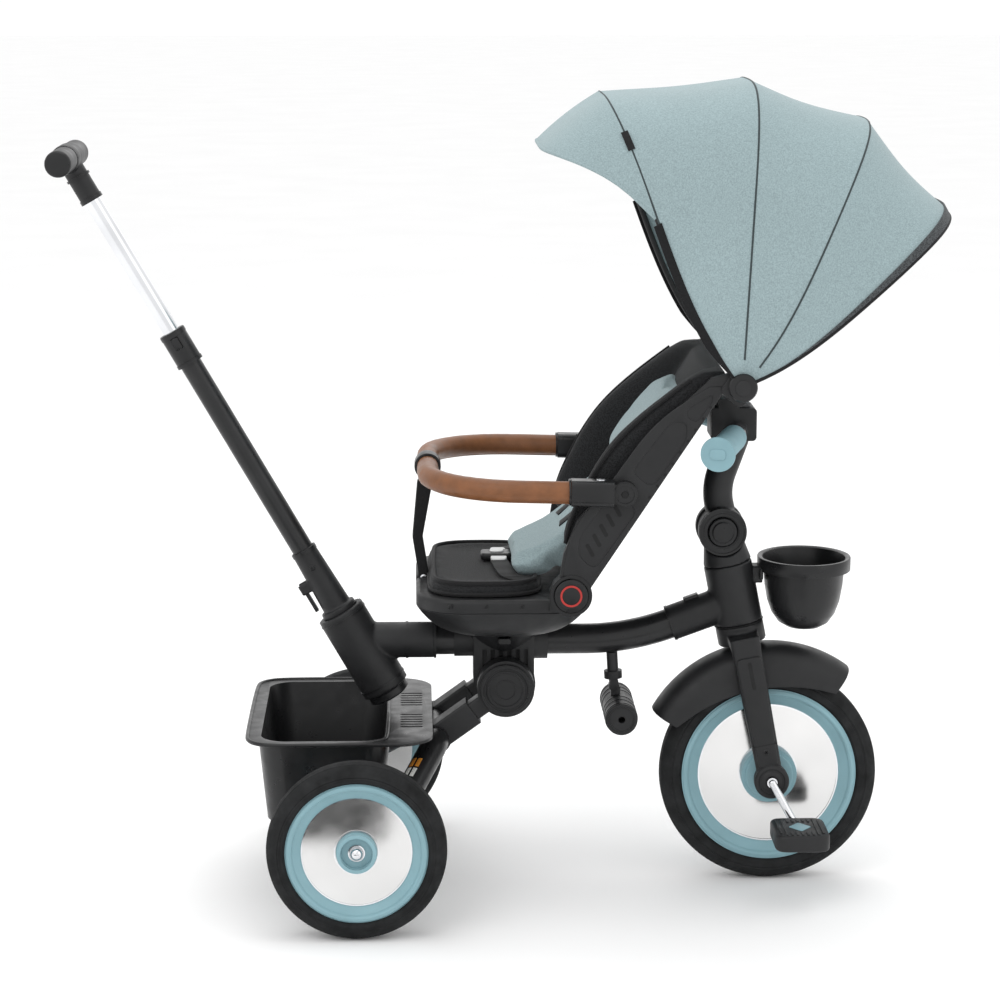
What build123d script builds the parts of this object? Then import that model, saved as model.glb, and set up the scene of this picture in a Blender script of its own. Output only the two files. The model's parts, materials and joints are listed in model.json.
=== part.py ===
"""Folding push tricycle with a rear-facing reclining seat, canopy and parent handle.

Millimetres. +X is forwards (front wheel), +Y is the rider's left side of the frame, +Z is up.
The origin is on the ground, half way along and across the whole trike.
"""
import os
from math import cos, radians, sin, tan

from build123d import *

os.makedirs("parts", exist_ok=True)

# ---------------------------------------------------------------- driving dimensions
GAP = 0.4            # air between bodies that move past each other
FIT = 0.1            # slip clearance of a tube in its socket

# wheels
front_axle_x = 313.0
front_radius = 127.0
front_tyre_width = 44.0
front_rim_radius = 102.0
front_disc_radius = 83.0
front_hub_radius = 32.5
rear_axle_x = -165.0
rear_radius = 100.0
rear_tyre_width = 43.0
rear_rim_radius = 79.0
rear_disc_radius = 62.0
rear_hub_radius = 22.0
half_track = 215.0
axle_radius = 5.0

# steering head and fork
head_tilt = 11.3
head_radius = 28.0
crown_bottom = 159.0
crown_top = 182.0
head_top = 254.5
steerer_radius = 11.0
bush_wall = 3.0
leg_inner = 36.0
leg_outer = 50.0
leg_width = 31.0
axle_boss_radius = 20.0

# front mudguard
fender_crest = 156.0
fender_edge = 133.0
fender_half_width = 34.0
fender_wall = 2.5
fender_start = 53.0
fender_end = 151.0

# cranks and pedals
crank_length = 53.0
crank_angle = -61.0
crank_radius = 4.5
crank_out = 57.0
pedal_inner = 72.0
pedal_width = 78.0
pedal_length = 62.0
pedal_thickness = 19.0

# handlebar stem
stem_hub_z = 416.5
stem_hub_radius = 28.0
knuckle_half = 10.0
cheek_outer = 23.0
stem_tube_radius = 17.0
clamp_x, clamp_z = 266.0, 542.0
clamp_length, clamp_width, clamp_height = 52.0, 52.0, 38.0
bar_x, bar_z = 272.0, 536.0
bar_radius = 9.5
bar_end_x, bar_end_y, bar_end_z = 235.0, 163.0, 532.0
grip_radius = 14.0
grip_flange_radius = 19.0
grip_length = 106.0

# main frame tube
tube_radius = 17.5
tube_wall = 2.0
tube_z = 287.0
tube_rise = 20.0
tube_bend_x = 149.0
tube_bend_radius = 290.0
tube_start_x = -112.0
sleeve_radius = 20.5
sleeve_start_x = 196.0

# parent handle
push_tilt = 30.0
push_foot_x, push_foot_z = -133.2, 230.0
barrel_radius = 28.0
barrel_length = 106.0
barrel_bore = 21.0
stub_radius = 20.8
stub_end_x = -76.0
outer_tube_radius = 12.5
outer_tube_wall = 1.5
inner_tube_radius = 9.75
inner_tube_wall = 1.2
socket_top = 191.0
outer_tube_start = 125.0
outer_tube_end = 455.0
collar_start, collar_end = 441.0, 483.0
inner_tube_start, neck_start = 300.0, 655.0
grip_q = 710.0
push_grip_radius = 15.0
push_grip_half = 95.0
push_sleeve_half, push_sleeve_radius = 24.0, 16.2

# centre bracket and folding hub
hub_x, hub_z = 4.5, 240.0
hub_radius = 33.0
hub_cover_radius = 29.7
fold_pin_radius = 8.0
bracket_half = 28.0
bracket_x0, bracket_x1 = -32.0, 38.0
seat_axis_x = 3.0
cone_bottom_z, cone_top_z = 277.0, 307.0
cone_bottom_radius, cone_top_radius = 26.0, 54.0

# rear legs, arch and basket
leg_centre_y = 42.0
leg_size = 22.0
leg_sleeve_size = 30.0
arch_x, arch_z = -76.0, 182.0
arch_radius = 15.0
arch_bend = 60.0
arch_end_y = 189.0
basket_x0, basket_x1 = -290.0, -80.0
basket_wall_x = -128.0
basket_top_z, basket_bottom_z = 203.0, 106.0
basket_half_width = 155.0
basket_wall = 3.0
basket_rim = 13.0

# seat
recline_x, recline_z = 74.0, 371.0
recline_angle = 56.5
pan_x0, pan_x1 = -98.0, 98.0
pan_half_width = 138.0
pan_bottom_z, pan_seam_z, pan_top_z = 311.4, 348.0, 363.0
ear_inner = 128.0
wing_inner, wing_outer = 142.0, 151.5
button_radius = 18.6
hub_cap_radius = 23.5
cushion_half_width = 126.0

# bumper bar
bumper_x, bumper_z = 132.0, 487.5
bumper_y = 159.0
bumper_radius = 12.0
bumper_front_x, bumper_front_z = -84.0, 493.0
bumper_corner = 100.0
bumper_socket_x = 73.0
bumper_tube_back = 36.0

# canopy
pivot_a, pivot_b = 298.0, -27.0
canopy_wall = 2.6
canopy_corner = 95.0
bow_angles = (36.0, 62.0, 87.0, 116.0)      # rear bow, then each bow in front of it
gore_radii = (312.0, 325.0, 337.0)          # rear, middle and front gore
gore_step = 3.4                             # how much wider each gore in front is
gore_inner = 152.4
visor_angle = 130.0
bow_width_angle = 2.0

# ---------------------------------------------------------------- derived planes and points
tilt = radians(head_tilt)
head = Plane(origin=(front_axle_x, 0, front_radius), x_dir=(cos(tilt), 0, sin(tilt)),
             z_dir=(-sin(tilt), 0, cos(tilt)))
lean = radians(push_tilt)
push = Plane(origin=(push_foot_x, 0, push_foot_z), x_dir=(cos(lean), 0, sin(lean)),
             z_dir=(-sin(lean), 0, cos(lean)))
back_dir = (cos(radians(recline_angle)), 0, sin(radians(recline_angle)))
back = Plane(origin=(recline_x, 0, recline_z), x_dir=back_dir, z_dir=(0, -1, 0))
stem_hub_x = front_axle_x - (stem_hub_z - front_radius) * tan(tilt)
canopy_pivot = back.from_local_coords(Vector(pivot_a, pivot_b, 0))
leg_dir = Vector(arch_x - hub_x, 0, arch_z - hub_z)
leg_length = leg_dir.length
leg_unit = leg_dir.normalized()
tube_slope = radians(tube_rise)


def side_plane(x, z, y=0.0):
    """Plane across the trike at (x, y, z): local X is +X, local Y is +Z, its normal is -Y."""
    return Plane(origin=(x, y, z), x_dir=(1, 0, 0), z_dir=(0, -1, 0))


def across(x, z, radius, y0, y1):
    """A round bar along Y from y0 to y1 in the current part."""
    with BuildSketch(side_plane(x, z, y0)) as end:
        Circle(radius)
    extrude(end.sketch, amount=-(y1 - y0))


def save(piece, label):
    """Label a finished piece and write its STEP file."""
    piece.part.label = label
    export_step(piece.part, f"parts/{label}.step")


def tube_centre_z(x):
    """Height of the main tube's centre line on its rising end."""
    return tube_z + (x - tube_bend_x) * tan(tube_slope)


# ---------------------------------------------------------------- main frame
sleeve_end_x = front_axle_x - (tube_centre_z(270) - front_radius) * tan(tilt)

with BuildPart() as main_tube:
    with BuildLine() as tube_path:
        FilletPolyline((tube_start_x, 0, tube_z), (tube_bend_x, 0, tube_z),
                       (sleeve_end_x - head_radius - 6, 0, tube_centre_z(sleeve_end_x - head_radius - 6)),
                       radius=tube_bend_radius)
    with BuildSketch(Plane.YZ.offset(tube_start_x).shift_origin((tube_start_x, 0, tube_z))):
        Circle(tube_radius)
        Circle(tube_radius - tube_wall, mode=Mode.SUBTRACT)
    sweep(path=tube_path.line)
save(main_tube, "main_tube")

with BuildPart() as head_housing:
    with BuildSketch(head.offset(crown_top + 1)):
        Circle(head_radius)
    extrude(amount=head_top - crown_top - 1)
    sleeve = Plane(origin=(sleeve_start_x, 0, tube_centre_z(sleeve_start_x)), x_dir=(0, 1, 0),
                   z_dir=(cos(tube_slope), 0, sin(tube_slope)))
    with BuildSketch(sleeve):
        Circle(sleeve_radius)
    extrude(amount=(sleeve_end_x - sleeve_start_x) / cos(tube_slope))
    with BuildSketch(sleeve):
        Circle(tube_radius + FIT)
    extrude(amount=(sleeve_end_x - head_radius - 4 - sleeve_start_x) / cos(tube_slope), mode=Mode.SUBTRACT)
    with BuildSketch(head.offset(crown_top)):
        Circle(steerer_radius + bush_wall)
    extrude(amount=head_top - crown_top + 10, mode=Mode.SUBTRACT)
save(head_housing, "head_housing")

bush_length = 16.0
with BuildPart() as head_bushes:
    for start in (crown_top + 2, head_top - bush_length - 1):
        with BuildSketch(head.offset(start)):
            Circle(steerer_radius + bush_wall)
            Circle(steerer_radius + FIT, mode=Mode.SUBTRACT)
        extrude(amount=bush_length)
save(head_bushes, "head_bushes")

with BuildPart() as rear_housing:
    with BuildSketch(push):
        Circle(barrel_radius)
    extrude(amount=barrel_length)
    with BuildSketch(push.offset(-9)):
        Circle(barrel_radius - 4)
    extrude(amount=9)
    with BuildSketch(Plane.YZ.offset(push_foot_x - 18).shift_origin((push_foot_x - 18, 0, tube_z))):
        Circle(stub_radius)
    extrude(amount=stub_end_x - push_foot_x + 18)
    with BuildSketch(Plane.YZ.offset(tube_start_x - 1).shift_origin((tube_start_x - 1, 0, tube_z))):
        Circle(tube_radius + FIT)
    extrude(amount=stub_end_x - tube_start_x + 2, mode=Mode.SUBTRACT)
    with BuildSketch(push.offset(16)):
        Circle(barrel_bore)
    extrude(amount=barrel_length, mode=Mode.SUBTRACT)
save(rear_housing, "rear_housing")

with BuildPart() as centre_bracket:
    with BuildSketch(side_plane(0, 0, -bracket_half)):
        with Locations(((bracket_x0 + bracket_x1) / 2, (hub_z + cone_top_z) / 2)):
            Rectangle(bracket_x1 - bracket_x0, cone_top_z - hub_z)
        with Locations((hub_x, hub_z)):
            Circle((bracket_x1 - bracket_x0) / 2)
    extrude(amount=-2 * bracket_half)
    with BuildSketch(Plane.XY.offset(cone_top_z).shift_origin((seat_axis_x, 0, cone_top_z))):
        Circle(cone_top_radius)
    with BuildSketch(Plane.XY.offset(cone_bottom_z).shift_origin((seat_axis_x, 0, cone_bottom_z))):
        Circle(cone_bottom_radius)
    loft()
    for start, length, drop, radius in ((bracket_x0 - 22, 24, 0, 19.5), (bracket_x1 - 2, 18, 2.5, 20.3)):
        with BuildSketch(Plane.YZ.offset(start).shift_origin((start, 0, tube_z - drop))):
            Circle(radius)
        extrude(amount=length)
    with BuildSketch(Plane.YZ.offset(bracket_x0 - 30).shift_origin((bracket_x0 - 30, 0, tube_z))):
        Circle(tube_radius + FIT)
    extrude(amount=bracket_x1 - bracket_x0 + 60, mode=Mode.SUBTRACT)
    # vertical vent slots in both faces, under the cone
    for face in (-1, 1):
        with BuildSketch(side_plane(hub_x, 271, face * bracket_half)):
            with GridLocations(9.5, 1, 6, 1):
                Rectangle(5, 20)
        extrude(amount=face * 6, mode=Mode.SUBTRACT)
    with BuildSketch(side_plane(hub_x, hub_z, -bracket_half - 1)):
        Circle(fold_pin_radius + FIT)
    extrude(amount=-2 * bracket_half - 2, mode=Mode.SUBTRACT)

latch_width, latch_height = 14.0, 7.0
latch_z = 296.0
latch_travel = 3.0
with BuildPart() as seat_latch:
    with BuildSketch(side_plane(seat_axis_x, latch_z, -cone_top_radius + 1)):
        RectangleRounded(latch_width, latch_height, 2)
    extrude(amount=-8)
save(seat_latch, "seat_latch")

with BuildPart(mode=Mode.PRIVATE) as latch_pocket:
    with BuildSketch(side_plane(seat_axis_x, latch_z, -cone_top_radius - 1)):
        RectangleRounded(latch_width + 2 * GAP, latch_height + 2 * GAP, 2)
    extrude(amount=-10 - latch_travel - 1)
centre_bracket.part = centre_bracket.part - latch_pocket.part
save(centre_bracket, "centre_bracket")

footrest_x, footrest_z = 138.0, 203.0
footrest_pivot_x, footrest_pivot_z = 132.0, 231.0
footrest_radius, footrest_half = 18.5, 55.0
post_radius = 6.5
with BuildPart() as footrest_post:
    post = Plane(origin=(footrest_pivot_x, 0, footrest_pivot_z), x_dir=(1, 0, 0), z_dir=(-0.06, 0, 1))
    with BuildSketch(post.offset(12)):
        Circle(post_radius)
    extrude(amount=tube_z - tube_radius - footrest_pivot_z - 12 + 1.5)
    with BuildSketch(post.offset(9)):
        Circle(10.5)
    extrude(amount=9)
    for face in (-1, 1):
        with BuildSketch(side_plane(footrest_pivot_x, footrest_pivot_z, face * 9)):
            with Locations((0, 3)):
                SlotCenterToCenter(6, 10, rotation=90)
        extrude(amount=face * 3.5)
    across(footrest_pivot_x, footrest_pivot_z, 2.5, -9, 9)
footrest_post.part = footrest_post.part - main_tube.part
save(footrest_post, "footrest_post")

with BuildPart() as footrest:
    across(footrest_x, footrest_z, footrest_radius, -footrest_half, footrest_half)
    fillet(footrest.edges().filter_by(GeomType.CIRCLE), 2)
    with BuildSketch(side_plane(footrest_pivot_x, footrest_pivot_z, -5)):
        Circle(6)
        with Locations((2, -10)):
            Rectangle(11, 18)
    extrude(amount=-10)
    with BuildSketch(side_plane(footrest_pivot_x, footrest_pivot_z, -6)):
        Circle(2.5 + FIT)
    extrude(amount=-12, mode=Mode.SUBTRACT)
    for face in (-1, 1):
        with BuildSketch(side_plane(footrest_x, footrest_z, face * footrest_half)):
            Circle(4)
        extrude(amount=face * 22, mode=Mode.SUBTRACT)
save(footrest, "footrest")

# front basket, hooked to the front of the steering head
bowl_x, bowl_top_z, bowl_bottom_z = 352.0, 384.0, 303.0
bowl_rx, bowl_ry = 52.0, 59.0
bowl_wall = 2.5
bowl_rim_height, bowl_rim_wall = 12.0, 3.0


def bowl_section(z, shrink, wall=0.0):
    """Ellipse of the bowl at height z, smaller by shrink and by the wall."""
    with BuildSketch(Plane.XY.offset(z).shift_origin((bowl_x, 0, z))) as section:
        Ellipse(bowl_rx - shrink - wall, bowl_ry - shrink - wall)
    return section.sketch


with BuildPart() as head_core:
    with BuildSketch(head.offset(crown_bottom)):
        Circle(head_radius)
    extrude(amount=head_top - crown_bottom)

with BuildPart() as front_basket:
    bowl_middle_z = (bowl_top_z + bowl_bottom_z) / 2
    loft([bowl_section(bowl_top_z, 0), bowl_section(bowl_middle_z, 5), bowl_section(bowl_bottom_z, 20)])
    extrude(bowl_section(bowl_top_z - bowl_rim_height, -bowl_rim_wall), amount=bowl_rim_height)
    loft([bowl_section(bowl_top_z, 0, bowl_wall), bowl_section(bowl_middle_z, 5, bowl_wall),
          bowl_section(bowl_bottom_z + bowl_wall, 20, bowl_wall)], mode=Mode.SUBTRACT)
    with BuildSketch(Plane.YZ.offset(bowl_x - bowl_rx - 21).shift_origin((bowl_x - bowl_rx - 21, 0, 366))):
        RectangleRounded(26, 21, 4)
    extrude(amount=22)
front_basket.part = front_basket.part - head_core.part
save(front_basket, "front_basket")

# ---------------------------------------------------------------- fork, mudguard and front wheel
with BuildPart() as fork:
    with BuildSketch(head.offset(crown_bottom)):
        Circle(head_radius)
    extrude(amount=crown_top - crown_bottom)
    with BuildSketch(head.offset(crown_bottom)):
        RectangleRounded(leg_width + 4, 2 * leg_outer, 6)
    extrude(amount=14)
    with BuildSketch(head.offset(crown_top)):
        Circle(steerer_radius)
    extrude(amount=head_top + GAP - crown_top)
    for face in (-1, 1):
        with BuildSketch(head):
            with Locations((0, face * (leg_inner + leg_outer) / 2)):
                RectangleRounded(leg_width - 2, leg_outer - leg_inner, 4)
        with BuildSketch(head.offset(crown_bottom + 1)):
            with Locations((0, face * (leg_inner + leg_outer) / 2)):
                RectangleRounded(leg_width + 3, leg_outer - leg_inner, 4)
        loft()
        with BuildSketch(side_plane(front_axle_x, front_radius, face * leg_inner)):
            Circle(axle_boss_radius)
        extrude(amount=-face * (leg_outer - leg_inner))
    with BuildSketch(side_plane(front_axle_x, front_radius, -leg_outer - 1)):
        Circle(axle_radius + 1 + FIT)
    extrude(amount=-2 * leg_outer - 2, mode=Mode.SUBTRACT)
save(fork, "fork")

with BuildPart() as front_fender:
    with BuildSketch(Plane.YZ.offset(front_axle_x).shift_origin((front_axle_x, 0, front_radius))) as guard:
        with BuildLine():
            edge_low = (-fender_half_width, fender_edge)
            edge_high = (fender_half_width, fender_edge)
            ThreePointArc(edge_low, (0, fender_crest), edge_high)
            Line(edge_high, (fender_half_width - fender_wall, fender_edge))
            ThreePointArc((fender_half_width - fender_wall, fender_edge), (0, fender_crest - fender_wall),
                          (-fender_half_width + fender_wall, fender_edge))
            Line((-fender_half_width + fender_wall, fender_edge), edge_low)
        make_face()
    revolve(axis=Axis((front_axle_x, 0, front_radius), (0, 1, 0)), revolution_arc=fender_end - fender_start)
front_fender.part = front_fender.part.rotate(Axis((front_axle_x, 0, front_radius), (0, 1, 0)),
                                             -(fender_end - 90))
with BuildPart() as fender_lug:
    with BuildSketch(head.offset(fender_crest - fender_wall)):
        Circle(9)
    extrude(amount=crown_bottom - fender_crest + fender_wall)
front_fender.part = front_fender.part + fender_lug.part
save(front_fender, "front_fender")


def turned(points, x, z, y_sign=1):
    """Revolve an outline of (radius, y) points about a wheel axle at (x, z)."""
    with BuildSketch(Plane.YZ.offset(x).shift_origin((x, 0, z))) as outline:
        with BuildLine():
            Polyline(*[(y_sign * y, radius) for radius, y in points], close=True)
        make_face()
    revolve(outline.sketch, axis=Axis((x, 0, z), (0, 1, 0)))


def tyre_outline(radius, inner, middle, width):
    """Tyre section: (radius, y) points with a rounded tread."""
    half = width / 2
    return ((inner, middle - half + 5), (inner + 4, middle - half), (radius - 12, middle - half),
            (radius - 4, middle - half + 5), (radius, middle - half + 13), (radius, middle + half - 13),
            (radius - 4, middle + half - 5), (radius - 12, middle + half), (inner + 4, middle + half),
            (inner, middle + half - 5))


def rim_outline(rim, disc, hub, middle, width, bore):
    """Wheel section: lip, dish, web and hub."""
    half = width / 2
    return ((bore, middle - half), (hub, middle - half), (hub, middle - 9), (disc + 1, middle - 9),
            (rim - 4, middle - half + 3), (rim, middle - half + 3), (rim, middle + half - 3),
            (rim - 4, middle + half - 3), (disc + 1, middle + 9), (hub, middle + 9), (hub, middle + half),
            (bore, middle + half))


def disc_outline(disc, hub, y):
    """Thin mirror ring, 1.5 thick, from the hub to the dish."""
    return ((hub + 0.3, y), (disc, y), (disc, y + 1.5), (hub + 0.3, y + 1.5))


with BuildPart() as front_tyre:
    turned(tyre_outline(front_radius, front_rim_radius, 0, front_tyre_width), front_axle_x, front_radius)
save(front_tyre, "front_tyre")

with BuildPart() as front_rim:
    turned(rim_outline(front_rim_radius, front_disc_radius, front_hub_radius, 0, front_tyre_width,
                       axle_radius + 1), front_axle_x, front_radius)
save(front_rim, "front_rim")

with BuildPart() as front_discs:
    for y in (-10.6, 9.1):
        turned(disc_outline(front_disc_radius, front_hub_radius, y), front_axle_x, front_radius)
save(front_discs, "front_discs")

crank_x = crank_length * cos(radians(crank_angle))
crank_z = crank_length * sin(radians(crank_angle))
pedal_end = pedal_inner + pedal_width - 6
with BuildPart() as crank_axle:
    with BuildSketch(side_plane(front_axle_x, front_radius, -crank_out)):
        Circle(axle_radius + 1)
    extrude(amount=-2 * crank_out)
    for face in (-1, 1):
        knee = Vector(front_axle_x, face * crank_out, front_radius)
        foot = Vector(front_axle_x - face * crank_x, face * (pedal_inner - 4), front_radius - face * crank_z)
        tip = Vector(foot.X, face * pedal_end, foot.Z)
        with BuildLine() as crank_path:
            Polyline(knee, foot)
        with BuildSketch(Plane(origin=knee, z_dir=foot - knee)):
            Circle(crank_radius)
        sweep(path=crank_path.line)
        with Locations(knee, foot):
            Sphere(crank_radius)
        with BuildSketch(Plane(origin=foot, z_dir=tip - foot)):
            Circle(crank_radius)
        extrude(amount=(tip - foot).length)
save(crank_axle, "crank_axle")

for side, face in (("right", -1), ("left", 1)):
    with BuildPart() as pedal:
        centre = (front_axle_x - face * crank_x, face * pedal_inner, front_radius - face * crank_z)
        with BuildSketch(side_plane(centre[0], centre[2], centre[1])):
            Rectangle(pedal_length, pedal_thickness)
        extrude(amount=-face * pedal_width)
        fillet(pedal.edges().filter_by(Axis.Z), 12)
        with BuildSketch(side_plane(centre[0], centre[2], centre[1])):
            Circle(crank_radius + FIT)
        extrude(amount=-face * (pedal_width - 5), mode=Mode.SUBTRACT)
    save(pedal, f"pedal_{side}")

# ---------------------------------------------------------------- stem and handlebar
with BuildPart() as head_cap:
    with BuildSketch(head.offset(head_top + GAP)):
        Circle(head_radius)
    with BuildSketch(head.offset(head_top + 26)):
        Circle(head_radius - 5)
    loft()
    across(stem_hub_x, stem_hub_z, stem_hub_radius - 2, -knuckle_half, knuckle_half)
    for face in (-1, 1):
        with BuildSketch(side_plane(stem_hub_x, stem_hub_z, face * knuckle_half)):
            Circle(stem_hub_radius + 1)
        extrude(amount=-face * 40, mode=Mode.SUBTRACT)
    with BuildSketch(side_plane(stem_hub_x, stem_hub_z, -knuckle_half - 1)):
        Circle(6 + FIT)
    extrude(amount=-2 * knuckle_half - 2, mode=Mode.SUBTRACT)
save(head_cap, "head_cap")

with BuildPart() as stem_tube:
    with BuildLine() as stem_path:
        FilletPolyline((stem_hub_x + 3, 0, stem_hub_z + 4), (248, 0, 464), (270, 0, clamp_z - 17), radius=70)
    with BuildSketch(Plane(origin=stem_path.line @ 0, z_dir=stem_path.line % 0)):
        Circle(stem_tube_radius)
    sweep(path=stem_path.line)
    with BuildSketch(side_plane(stem_hub_x, stem_hub_z, -knuckle_half - GAP)):
        Circle(stem_hub_radius - 2 + GAP)
    extrude(amount=-2 * knuckle_half - 2 * GAP, mode=Mode.SUBTRACT)
    for face in (-1, 1):
        with BuildSketch(side_plane(stem_hub_x, stem_hub_z, face * (knuckle_half + GAP))):
            Circle(stem_hub_radius)
        extrude(amount=-face * (cheek_outer - knuckle_half - GAP))
    across(stem_hub_x, stem_hub_z, 6, -knuckle_half - 2, knuckle_half + 2)
    with BuildSketch(side_plane(stem_hub_x, stem_hub_z, -cheek_outer)):
        Circle(16.8)
    extrude(amount=-8, mode=Mode.SUBTRACT)
save(stem_tube, "stem_tube")

with BuildPart() as stem_button:
    across(stem_hub_x, stem_hub_z, 16.3, -cheek_outer - 2.5, -cheek_outer + 4)
save(stem_button, "stem_button")

with BuildPart() as stem_clamp:
    with BuildSketch(side_plane(clamp_x, clamp_z, -clamp_width / 2)):
        RectangleRounded(clamp_length, clamp_height, 5)
        with Locations((-6, clamp_height / 2 + 3)):
            RectangleRounded(24, 16, 5)
    extrude(amount=-clamp_width)
    with BuildSketch(side_plane(bar_x, bar_z, -clamp_width)):
        Circle(bar_radius)
    extrude(amount=-2 * clamp_width, mode=Mode.SUBTRACT)
stem_clamp.part = stem_clamp.part - stem_tube.part
save(stem_clamp, "stem_clamp")

bar_knee = 34.0
bar_points = [Vector(bar_end_x, -bar_end_y, bar_end_z), Vector(bar_x, -bar_knee, bar_z),
              Vector(bar_x, bar_knee, bar_z), Vector(bar_end_x, bar_end_y, bar_end_z)]
with BuildPart() as handlebar:
    with BuildLine() as bar_path:
        FilletPolyline(*bar_points, radius=24)
    with BuildSketch(Plane(origin=bar_points[0], z_dir=bar_path.line % 0)):
        Circle(bar_radius)
    sweep(path=bar_path.line)
save(handlebar, "handlebar")

with BuildPart() as handlebar_grips:
    for end, knee in ((bar_points[0], bar_points[1]), (bar_points[3], bar_points[2])):
        along = (knee - end).normalized()
        with BuildSketch(Plane(origin=end - along * 4, z_dir=along)):
            Circle(grip_flange_radius)
        extrude(amount=5)
        with BuildSketch(Plane(origin=end - along * 4, z_dir=along)):
            Circle(grip_radius)
        extrude(amount=grip_length)
        with BuildSketch(Plane(origin=end, z_dir=along)):
            Circle(bar_radius)
        extrude(amount=grip_length, mode=Mode.SUBTRACT)
save(handlebar_grips, "handlebar_grips")

# ---------------------------------------------------------------- parent handle
lever_reach = -22.5
with BuildPart() as push_socket:
    with BuildSketch(push.offset(22)):
        Circle(barrel_bore - GAP)
    extrude(amount=barrel_length + GAP - 22)
    with BuildSketch(push.offset(barrel_length + GAP)):
        Circle(barrel_bore)
    extrude(amount=6)
    with BuildSketch(push.offset(barrel_length + 6)):
        Circle(17)
    with BuildSketch(push.offset(socket_top)):
        Circle(14.5)
    loft()
    for face in (-1, 1):
        with BuildSketch(push.offset(143)):
            with Locations((-19.5, face * 7)):
                Rectangle(15, 3)
        extrude(amount=13)
    with BuildSketch(Plane(origin=push.from_local_coords(Vector(lever_reach, -6.5, 149.5)), z_dir=(0, 1, 0))):
        Circle(2)
    extrude(amount=13)
    with BuildSketch(push.offset(outer_tube_start)):
        Circle(outer_tube_radius)
    extrude(amount=socket_top - outer_tube_start + 1, mode=Mode.SUBTRACT)
save(push_socket, "push_socket")

with BuildPart() as push_lever:
    with BuildSketch(Plane(origin=push.from_local_coords(Vector(lever_reach, -4.5, 149.5)), z_dir=(0, 1, 0))):
        Circle(4.4)
    extrude(amount=9)
    with BuildSketch(push.offset(119)):
        with Locations((lever_reach, 0)):
            Rectangle(4, 9)
    extrude(amount=29)
    with BuildSketch(Plane(origin=push.from_local_coords(Vector(lever_reach, -6, 149.5)), z_dir=(0, 1, 0))):
        Circle(2 + FIT)
    extrude(amount=12, mode=Mode.SUBTRACT)
save(push_lever, "push_lever")

with BuildPart() as push_outer_tube:
    with BuildSketch(push.offset(outer_tube_start)):
        Circle(outer_tube_radius)
        Circle(outer_tube_radius - outer_tube_wall, mode=Mode.SUBTRACT)
    extrude(amount=outer_tube_end - outer_tube_start)
save(push_outer_tube, "push_outer_tube")

button_q = 469.0
button_travel = 3.0
with BuildPart() as push_collar:
    with BuildSketch(push.offset(collar_start)):
        Circle(15)
    extrude(amount=collar_end - collar_start)
    with BuildSketch(push.offset(collar_start)):
        Circle(outer_tube_radius)
    extrude(amount=outer_tube_end - collar_start, mode=Mode.SUBTRACT)
    with BuildSketch(push.offset(collar_start)):
        Circle(inner_tube_radius + GAP)
    extrude(amount=collar_end - collar_start, mode=Mode.SUBTRACT)
    with BuildSketch(push.offset(button_q - 7)):
        with Locations((0, -16)):
            Rectangle(9, 12)
    extrude(amount=14, mode=Mode.SUBTRACT)
save(push_collar, "push_collar")

with BuildPart() as push_button:
    with BuildSketch(push.offset(button_q - 6.5)):
        with Locations((0, -15.2)):
            Rectangle(8, 2.6)
    extrude(amount=13)
save(push_button, "push_button")

with BuildPart() as push_inner_tube:
    with BuildSketch(push.offset(inner_tube_start)):
        Circle(inner_tube_radius)
        Circle(inner_tube_radius - inner_tube_wall, mode=Mode.SUBTRACT)
    extrude(amount=grip_q - push_grip_radius - inner_tube_start)
save(push_inner_tube, "push_inner_tube")

with BuildPart() as push_grip:
    grip_centre = push.from_local_coords(Vector(0, 0, grip_q))
    with BuildSketch(side_plane(grip_centre.X, grip_centre.Z, -push_grip_half)):
        Circle(push_grip_radius)
    extrude(amount=-2 * push_grip_half)
    fillet(push_grip.edges().filter_by(GeomType.CIRCLE), 4)
    with BuildSketch(side_plane(grip_centre.X, grip_centre.Z, -push_sleeve_half)):
        Circle(push_sleeve_radius)
    extrude(amount=-2 * push_sleeve_half)
    with BuildSketch(push.offset(neck_start)):
        Circle(12.5)
    extrude(amount=grip_q - neck_start)
    with BuildSketch(push.offset(neck_start - 1)):
        Circle(inner_tube_radius)
    extrude(amount=grip_q - push_grip_radius - neck_start + 1, mode=Mode.SUBTRACT)
save(push_grip, "push_grip")

# ---------------------------------------------------------------- rear frame
with BuildPart() as arch_tube:
    with BuildLine() as arch_path:
        FilletPolyline((rear_axle_x, -arch_end_y, rear_radius), (arch_x - 36, -150, arch_z - 44),
                       (arch_x, -68, arch_z), (arch_x, 68, arch_z), (arch_x - 36, 150, arch_z - 44),
                       (rear_axle_x, arch_end_y, rear_radius), radius=arch_bend * 0.75)
    with BuildSketch(Plane(origin=arch_path.line @ 0, z_dir=arch_path.line % 0)):
        Circle(arch_radius)
    sweep(path=arch_path.line)
    for face in (-1, 1):
        with BuildSketch(side_plane(rear_axle_x, rear_radius, face * (arch_end_y - 24))):
            Circle(16)
        extrude(amount=-face * 24)
        with BuildSketch(side_plane(rear_axle_x, rear_radius, face * arch_end_y)):
            Rectangle(80, 80)
        extrude(amount=-face * 30, mode=Mode.SUBTRACT)
        with BuildSketch(side_plane(rear_axle_x, rear_radius, face * (arch_end_y - 18))):
            Circle(axle_radius)
        extrude(amount=-face * 30, mode=Mode.SUBTRACT)
save(arch_tube, "arch_tube")

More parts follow.
